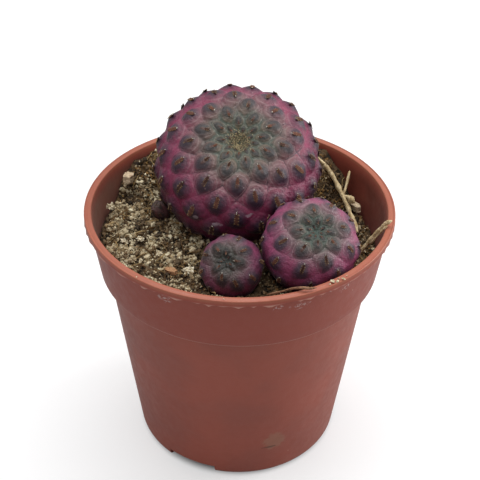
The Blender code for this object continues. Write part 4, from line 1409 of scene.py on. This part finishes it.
def head_clearance(points):
    """Distance from each point to the nearest stem's skin, less than zero inside, in metres."""
    nearest = np.full(len(points), 1.0)
    for _, stem in STEMS.values():
        local = (points - stem.centre) @ stem.turn
        above, below = stem.heights
        local[:, 2] /= np.where(local[:, 2] > 0.0, above, below)
        nearest = np.minimum(nearest, np.linalg.norm(local, axis=1) - stem.radius)
    return nearest


def clumped(points, scale, low, high, seed):
    """A patchy share from 0 to 1 for each point."""
    values = [noise.noise(Vector((x, y, seed * 5.0 * MM)) / scale) for x, y, _ in points]
    return smooth_step(low, high, np.array(values))


def make_litter_bed():
    """The open top of the soil, with the densities of what lies loose on it."""
    made = bmesh.new()
    made.from_mesh(soil_bed.data)
    sides = [face for face in made.faces if face.calc_center_median().z < STEP_Z + 2.0 * MM
             or face.normal.z < 0.25]
    bmesh.ops.delete(made, geom=sides, context="FACES")
    mesh = bpy.data.meshes.new("litter_bed")
    made.to_mesh(mesh)
    made.free()
    points = read_points(mesh)
    x, y, z = points.T
    radius = np.hypot(x, y)
    free = (radius < inner_radius(SOIL_LEVEL) - WALL_CLEARANCE) * (head_clearance(points) > STEM_CLEARANCE)
    left = smooth_step(-2.0 * MM, -9.0 * MM, x)
    heap = smooth_step(9.0 * MM, 14.0 * MM, y)
    store(mesh, "grit", free * (1.0 - 0.85 * heap) * (0.10 + 0.90 * left)
          * (0.08 + 0.92 * clumped(points, 2.6 * MM, -0.10, 0.16, 1)))
    store(mesh, "humus", free * (0.45 + 0.55 * clumped(points, 2.5 * MM, -0.2, 0.3, 2)))
    front = smooth_step(-12.0 * MM, -17.0 * MM, y)
    right = smooth_step(14.0 * MM, 20.0 * MM, x)
    store(mesh, "heap", free * (0.12 + 0.88 * np.maximum(heap, 0.7 * right))
          * (0.3 + 0.7 * clumped(points, 3.0 * MM, -0.25, 0.2, 4)))
    store(mesh, "fibre", free * (0.18 + 0.5 * heap + 0.3 * left) * (1.0 - 0.8 * front)
          * (0.3 + 0.7 * clumped(points, 4.0 * MM, -0.2, 0.3, 3)))
    return linked("litter_bed", mesh)


litter_bed = make_litter_bed()
print("bed faces to strew", len(litter_bed.data.polygons))


# %% The scatter tree
def make_scatter_tree():
    tree, given, result = new_shape_tree("scatter", [
        ("Shapes", "Collection", None), ("Where", "String", ""), ("Per Square Metre", "Float", 1000.0),
        ("Smallest", "Float", 0.001), ("Largest", "Float", 0.001), ("Tumble", "Float", 3.14),
        ("Lift", "Float", 0.0), ("Seed", "Int", 1), ("Material", "Material", None)])
    density = maths(tree, "MULTIPLY", named(tree, given["Where"]), given["Per Square Metre"])
    spread = node(tree, "GeometryNodeDistributePointsOnFaces",
                  {"Mesh": given["Geometry"], "Density": density, "Seed": given["Seed"]},
                  distribute_method="RANDOM")
    back = maths(tree, "MULTIPLY", given["Tumble"], -1.0)
    tilt_x = random_number(tree, back, given["Tumble"], given["Seed"])
    tilt_y = random_number(tree, back, given["Tumble"], maths(tree, "ADD", given["Seed"], 17.0))
    turn_z = random_number(tree, -math.pi, math.pi, maths(tree, "ADD", given["Seed"], 31.0))
    tumble = node(tree, "ShaderNodeCombineXYZ", {0: tilt_x, 1: tilt_y, 2: turn_z})
    turned = node(tree, "FunctionNodeRotateRotation", {
        "Rotation": spread.outputs["Rotation"], "Rotate By": tumble.outputs[0]}, rotation_space="LOCAL")
    draw = random_number(tree, 0.0, 1.0, maths(tree, "ADD", given["Seed"], 43.0))
    range_up = maths(tree, "SUBTRACT", given["Largest"], given["Smallest"])
    size = maths(tree, "MULTIPLY_ADD", maths(tree, "POWER", draw, 2.2), range_up, given["Smallest"])
    lifted = node(tree, "ShaderNodeCombineXYZ", {2: given["Lift"]})
    moved = node(tree, "GeometryNodeSetPosition", {"Geometry": spread.outputs["Points"],
                                                   "Offset": lifted.outputs[0]})
    shapes = node(tree, "GeometryNodeCollectionInfo", {
        "Collection": given["Shapes"], "Separate Children": True, "Reset Children": True})
    placed = node(tree, "GeometryNodeInstanceOnPoints", {
        "Points": moved.outputs[0], "Instance": shapes.outputs[0], "Pick Instance": True,
        "Rotation": turned.outputs[0], "Scale": size})
    finish_tree(tree, placed.outputs[0], result, given["Material"], given["Seed"])
    return tree


# %% Shapes to strew
def shape_set(name, shapes):
    """A collection of shapes for the scatter tree to pick from."""
    home = bpy.data.collections.new(name)
    for shape in shapes:
        scene.collection.objects.unlink(shape)
        home.objects.link(shape)
    return home


def fibre_shape(name, seed):
    """A thin bent fibre about 1 long that lies flat."""
    draw = np.random.default_rng(seed)
    bend, hook, arch = draw.uniform(-0.35, 0.35), draw.uniform(-0.2, 0.2), draw.uniform(0.0, 0.12)
    stops = [step / 6 for step in range(7)]
    route = [Vector((t - 0.5, 2 * bend * (t - 0.5) ** 2 + hook * math.sin(5 * t),
                     arch * math.sin(math.pi * t))) for t in stops]
    widths = [0.035 * (0.45 + math.sin(math.pi * (0.1 + 0.8 * t))) for t in stops]
    mesh = mesh_of(name, lambda made: loft_into(made, route, widths, 4, flat=0.55))
    return linked(name, mesh)


SCATTER_TREE = make_scatter_tree()
CRUMBS = shape_set("crumb_shapes", [
    hull_lump(f"crumb_{seed}", 20 + seed, 12, (1.0, 0.85, 0.7)) for seed in range(6)])
FIBRES = shape_set("fibre_shapes", [fibre_shape(f"fibre_{seed}", 40 + seed) for seed in range(6)])
# what: (shapes, attribute, finish, slot, per square metre, smallest, largest, tumble, lift); the tumble is
# in radians, the sizes and the lift in millimetres
LITTER = {
    "fine_grit": (CRUMBS, "grit", GRIT_FINISH, "pumice", 2.2e7, 0.20, 0.80, 3.1, 0.14),
    "coarse_grit": (CRUMBS, "grit", GRIT_FINISH, "pumice", 1.9e6, 0.7, 1.6, 3.1, 0.35),
    "humus_crumbs": (CRUMBS, "humus", HUMUS_FINISH, "soil", 3.2e6, 0.30, 1.5, 3.1, 0.30),
    "golden_crumbs": (CRUMBS, "heap", GOLD_FINISH, "soil", 8.0e6, 0.22, 1.0, 3.1, 0.15),
    "fibre_litter": (FIBRES, "fibre", FIBRE_FINISH, "straw", 1.2e6, 1.2, 4.2, 0.3, 0.4),
}
for number, (name, sizes) in enumerate(LITTER.items()):
    shapes, where, finish, slot, per_area, smallest, largest, tumble, lift = sizes
    piece = run_tree(name, SCATTER_TREE, litter_bed, Shapes=shapes, Where=where, Per_Square_Metre=per_area,
                     Smallest=smallest * MM, Largest=largest * MM, Tumble=tumble, Lift=lift * MM,
                     Seed=70 + number, Material=finish)
    settle_in(piece, finish, slot)

# %% [markdown]
# ## Straws and a root fibre
# Two pale straws and one dark thread were dropped on the soil: a split straw leans over the rim at the
# right, a longer one with a side shoot and a knot lies along the wall behind, and the thread lies across
# the rim in front. Each is a loft along the same route as its plain solid, so it lies where that one was
# let down: the route is lifted until the middle of its height agrees with the plain solid's. The tube is
# squashed and grooved lengthwise, and its width wanders, as a dry stalk's does.

# %% Straw routes and their finish
# name: (half thickness, [(bearing in degrees, distance in from the mouth's edge, height above the rim), ...])
STRAWS = {
    "straw_right": (0.52, [(-21.0, 4.1, -5.6), (-18.0, 3.2, -4.1), (-15.5, 1.8, -2.0),
                           (-14.6, 0.5, 0.1), (-13.8, -0.35, 0.75), (-13.0, -0.85, 0.8)]),
    "straw_back": (0.38, [(50.0, 3.6, -1.9), (41.0, 3.5, -4.0), (31.0, 4.1, -6.0),
                          (22.0, 4.4, -7.4), (12.0, 4.6, -8.2), (5.0, 4.6, -8.4)]),
    "rim_fibre": (0.16, [(-79.0, 2.6, -1.9), (-74.0, 1.5, -0.7), (-71.0, 0.7, 0.2),
                         (-68.0, -0.2, 0.75), (-65.0, -0.75, 0.6), (-62.5, -0.95, 0.5)]),
}
STRAW_STEP = 0.35 * MM


def straw_route(name):
    """The straw's route, lifted to where the plain solid came to rest."""
    half_thickness, stations = STRAWS[name]
    points = []
    for bearing, inward, rise in stations:
        angle = math.radians(bearing)
        reach = MOUTH_RADIUS - inward * MM
        points.append(Vector((reach * math.cos(angle), reach * math.sin(angle), POT_HEIGHT + rise * MM)))
    route = smooth_route(points, STRAW_STEP)
    low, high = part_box(name)
    heights = [point.z for point in route]
    lift = (low.z + high.z - min(heights) - max(heights)) / 2
    return [point + Vector((0.0, 0.0, lift)) for point in route], half_thickness * MM


def wandering(count, seed, base, amount, taper=0.12):
    """Widths along a stalk: they wander a little and draw in at both ends."""
    widths = []
    for index in range(count):
        share = index / (count - 1)
        end = min(1.0, 0.35 + min(share, 1.0 - share) / taper)
        widths.append(base * end * (1.0 + amount * noise.noise(Vector((seed * 3.1, index * 0.23, 0.0)))))
    return widths


def make_straw_finish(name, dark, light, stain):
    finish, tree, shader = new_finish(name, Specular_IOR_Level=0.35)
    where = object_place(tree)
    fibres = node(tree, "ShaderNodeMapping", {0: where, 3: (2.2, 0.8, 1.6)}).outputs[0]
    colour = blend(tree, span(tree, noise_value(tree, fibres, 900.0, 4.0, 0.6), 0.3, 0.7), dark, light)
    patch = span(tree, noise_value(tree, where, 500.0, 4.0), 0.52, 0.66)
    colour = blend(tree, maths(tree, "MULTIPLY", patch, 0.7), colour, stain)
    rough = span(tree, noise_value(tree, where, 800.0), 0.3, 0.7, 0.5, 0.8)
    feed(tree, shader, Base_Color=colour, Roughness=rough,
         Normal=relief(tree, fibres, 1800.0, 6000.0, 0.5, 0.00018))
    return finish


STRAW_FINISH = make_straw_finish("dry_straw", (0.42, 0.29, 0.13), (0.78, 0.63, 0.38), (0.24, 0.15, 0.065))
THREAD_FINISH = make_straw_finish("root_thread", (0.16, 0.07, 0.035), (0.36, 0.19, 0.10), (0.08, 0.04, 0.02))


# %% Draw the straws
def draw_stalk(name, parts, finish, node_name):
    """One piece from several lofts, each (route, widths, flatness, ridges)."""
    def recipe(made):
        for route, widths, flat, ridges in parts:
            loft_into(made, route, widths, 14, flat, ridges, 5)
    stalk = linked(name, mesh_of(name, recipe))
    stalk.data.shade_smooth()
    return settle_in(stalk, finish, "straw", node_name)


right_route, right_half = straw_route("straw_right")
split_at = len(right_route) // 3
sliver = [point + Vector((0.35 * MM, -0.45 * MM, -0.18 * MM)) * (0.6 + 0.6 * step / len(right_route))
          for step, point in enumerate(right_route[split_at:-4])]
draw_stalk("split_straw", [
    (right_route, wandering(len(right_route), 1, right_half * 0.85, 0.5), 0.7, 0.10),
    (sliver, wandering(len(sliver), 2, right_half * 0.42, 0.5), 0.7, 0.12)], STRAW_FINISH, "straw_right")

back_route, back_half = straw_route("straw_back")
knot = back_route[int(len(back_route) * 0.52)]
shoot = smooth_route([knot + Vector((-0.2, 0.2, 0.0)) * MM, knot + Vector((0.5, 2.2, 1.5)) * MM,
                      knot + Vector((1.2, 4.4, 3.3)) * MM], STRAW_STEP)
lump = smooth_route([knot + Vector((-0.3, 0.8, 0.2)) * MM, knot + Vector((0.9, -0.6, 0.5)) * MM,
                     knot + Vector((1.9, -2.1, 0.4)) * MM], STRAW_STEP)
draw_stalk("forked_straw", [
    (back_route, wandering(len(back_route), 3, back_half * 1.2, 0.6), 0.8, 0.08),
    (shoot, wandering(len(shoot), 4, back_half * 0.7, 0.5), 0.8, 0.08),
    (lump, wandering(len(lump), 5, back_half * 1.5, 0.9, 0.3), 0.7, 0.16)], STRAW_FINISH, "straw_back")

thread_route, thread_half = straw_route("rim_fibre")
draw_stalk("root_thread", [(thread_route, wandering(len(thread_route), 6, thread_half * 1.1, 0.6), 0.8, 0.0)],
           THREAD_FINISH, "rim_fibre")

# %% [markdown]
# ## Bark chips, pumice grains and crumbs on the rim
# Each plain chip and grain keeps its place and rough size, and gets a broken surface. The plain mesh is
# loose triangles, so its doubles are merged first; then it is subdivided, and its points are pushed along
# their normals by noise at two scales, deep pits for pumice and long splinters for bark. A few crumbs of
# earth also stick to the rim. They are too small for a solid of their own, so they are made only here.

# %% Rough up the chips and grains
BARK_FINISH = make_mineral("bark", (0.42, 0.20, 0.085), (0.66, 0.53, 0.36), (0.24, 0.12, 0.06), 0.8)
PUMICE_FINISH = make_mineral("pumice", (0.58, 0.49, 0.32), (0.80, 0.73, 0.56), (0.26, 0.18, 0.09), 0.9)
BARK_CUTS = 5
BARK_DEPTH = 0.16 * MM
BARK_PITS = 0.05 * MM
# the noise runs three times as fast across a flake as along it, which leaves splinters
SPLINTERED = (1.0, 3.0, 3.0)
PALE_FLAKE = 0.95
FLAKE_TONES = {"bark_chip_front": 0.15}
FLAKE_HEIGHTS = {"bark_chip_left": 1.6}
PUMICE_CUTS = 4
PUMICE_DEPTH = 0.32 * MM
PUMICE_PITS = 0.16 * MM
PUMICE_LUMPS = 0.75 * MM


def roughened(name, cad_node, cuts, depth, pits, seed, tone, stretch=(1.0, 1.0, 1.0), lumps=0.0, taller=1.0):
    """A copy of a plain solid with a broken surface."""
    made = bmesh.new()
    made.from_mesh(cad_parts[cad_node].data)
    bmesh.ops.remove_doubles(made, verts=made.verts, dist=0.001 * MM)
    bmesh.ops.subdivide_edges(made, edges=made.edges, cuts=cuts, use_grid_fill=True)
    low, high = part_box(cad_node)
    for corner in made.verts:
        corner.co.z = (low.z + high.z) / 2 + taller * (corner.co.z - (low.z + high.z) / 2)
    made.normal_update()
    for corner in made.verts:
        spot = Vector([part * factor for part, factor in zip(corner.co, stretch)])
        spot = spot / MM + Vector((seed * 9.0, 0.0, 0.0))
        push = depth * noise.noise(spot / 0.8) - pits * max(0.0, noise.noise(spot / 0.33)) ** 2 * 4.0
        push -= lumps * min(noise.voronoi(spot / 0.62)[0][0], 0.8)
        corner.co += corner.normal * push
    mesh = bpy.data.meshes.new(name)
    made.to_mesh(mesh)
    made.free()
    store(mesh, "tone", np.full(len(mesh.vertices), tone))
    return linked(name, mesh)


# %% Crumbs on the rim
# (bearing in degrees, radius, size) of each crumb, in millimetres
RIM_CRUMBS = ((-55.5, 26.8, 1.1), (-53.8, 27.2, 0.8), (-51.4, 27.3, 0.9), (-56.8, 27.1, 0.5),
              (-52.4, 26.7, 0.45), (-49.0, 27.0, 0.4), (-95.0, 26.9, 0.35), (-128.0, 27.1, 0.35))


def rim_crumbs():
    """A few crumbs of earth that stick to the rim beside the thread."""
    made = bmesh.new()
    for number, (bearing, radius, size) in enumerate(RIM_CRUMBS):
        crumb = hull_lump("crumb", 60 + number, 12, (1.0, 0.8, 0.55))
        crumb.data.transform(Matrix.Translation(on_wall(bearing, radius, POT_HEIGHT / MM + 0.2 * size))
                             @ Matrix.Rotation(number * 1.3, 4, "Z") @ Matrix.Scale(size * MM, 4))
        made.from_mesh(crumb.data)
        bpy.data.objects.remove(crumb, do_unlink=True)
    mesh = bpy.data.meshes.new("rim_crumbs")
    made.to_mesh(mesh)
    made.free()
    store(mesh, "tone", np.full(len(mesh.vertices), 0.7))
    return linked("rim_crumbs", mesh)


settle_in(rim_crumbs(), GRIT_FINISH, "pumice")

# %% Finish the chips and grains
for number, cad_node in enumerate(sorted(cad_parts)):
    if cad_node.startswith("bark_chip"):
        chip = roughened(cad_node.replace("bark_chip", "bark_flake"), cad_node, BARK_CUTS, BARK_DEPTH,
                         BARK_PITS, number, FLAKE_TONES.get(cad_node, PALE_FLAKE), SPLINTERED,
                         taller=FLAKE_HEIGHTS.get(cad_node, 1.0))
        settle_in(chip, BARK_FINISH, "bark", cad_node)
    if cad_node.startswith("pumice_grain"):
        grain = roughened(cad_node.replace("pumice_grain", "pumice_stone"), cad_node, PUMICE_CUTS,
                          PUMICE_DEPTH, PUMICE_PITS, number, (number * 0.37) % 1.0, lumps=PUMICE_LUMPS)
        settle_in(grain, PUMICE_FINISH, "pumice", cad_node)

# %% [markdown]
# **Closing.** The bed only carried the loose pieces while they were strewn, so it goes.

# %% Finish
bpy.data.objects.remove(litter_bed, do_unlink=True)
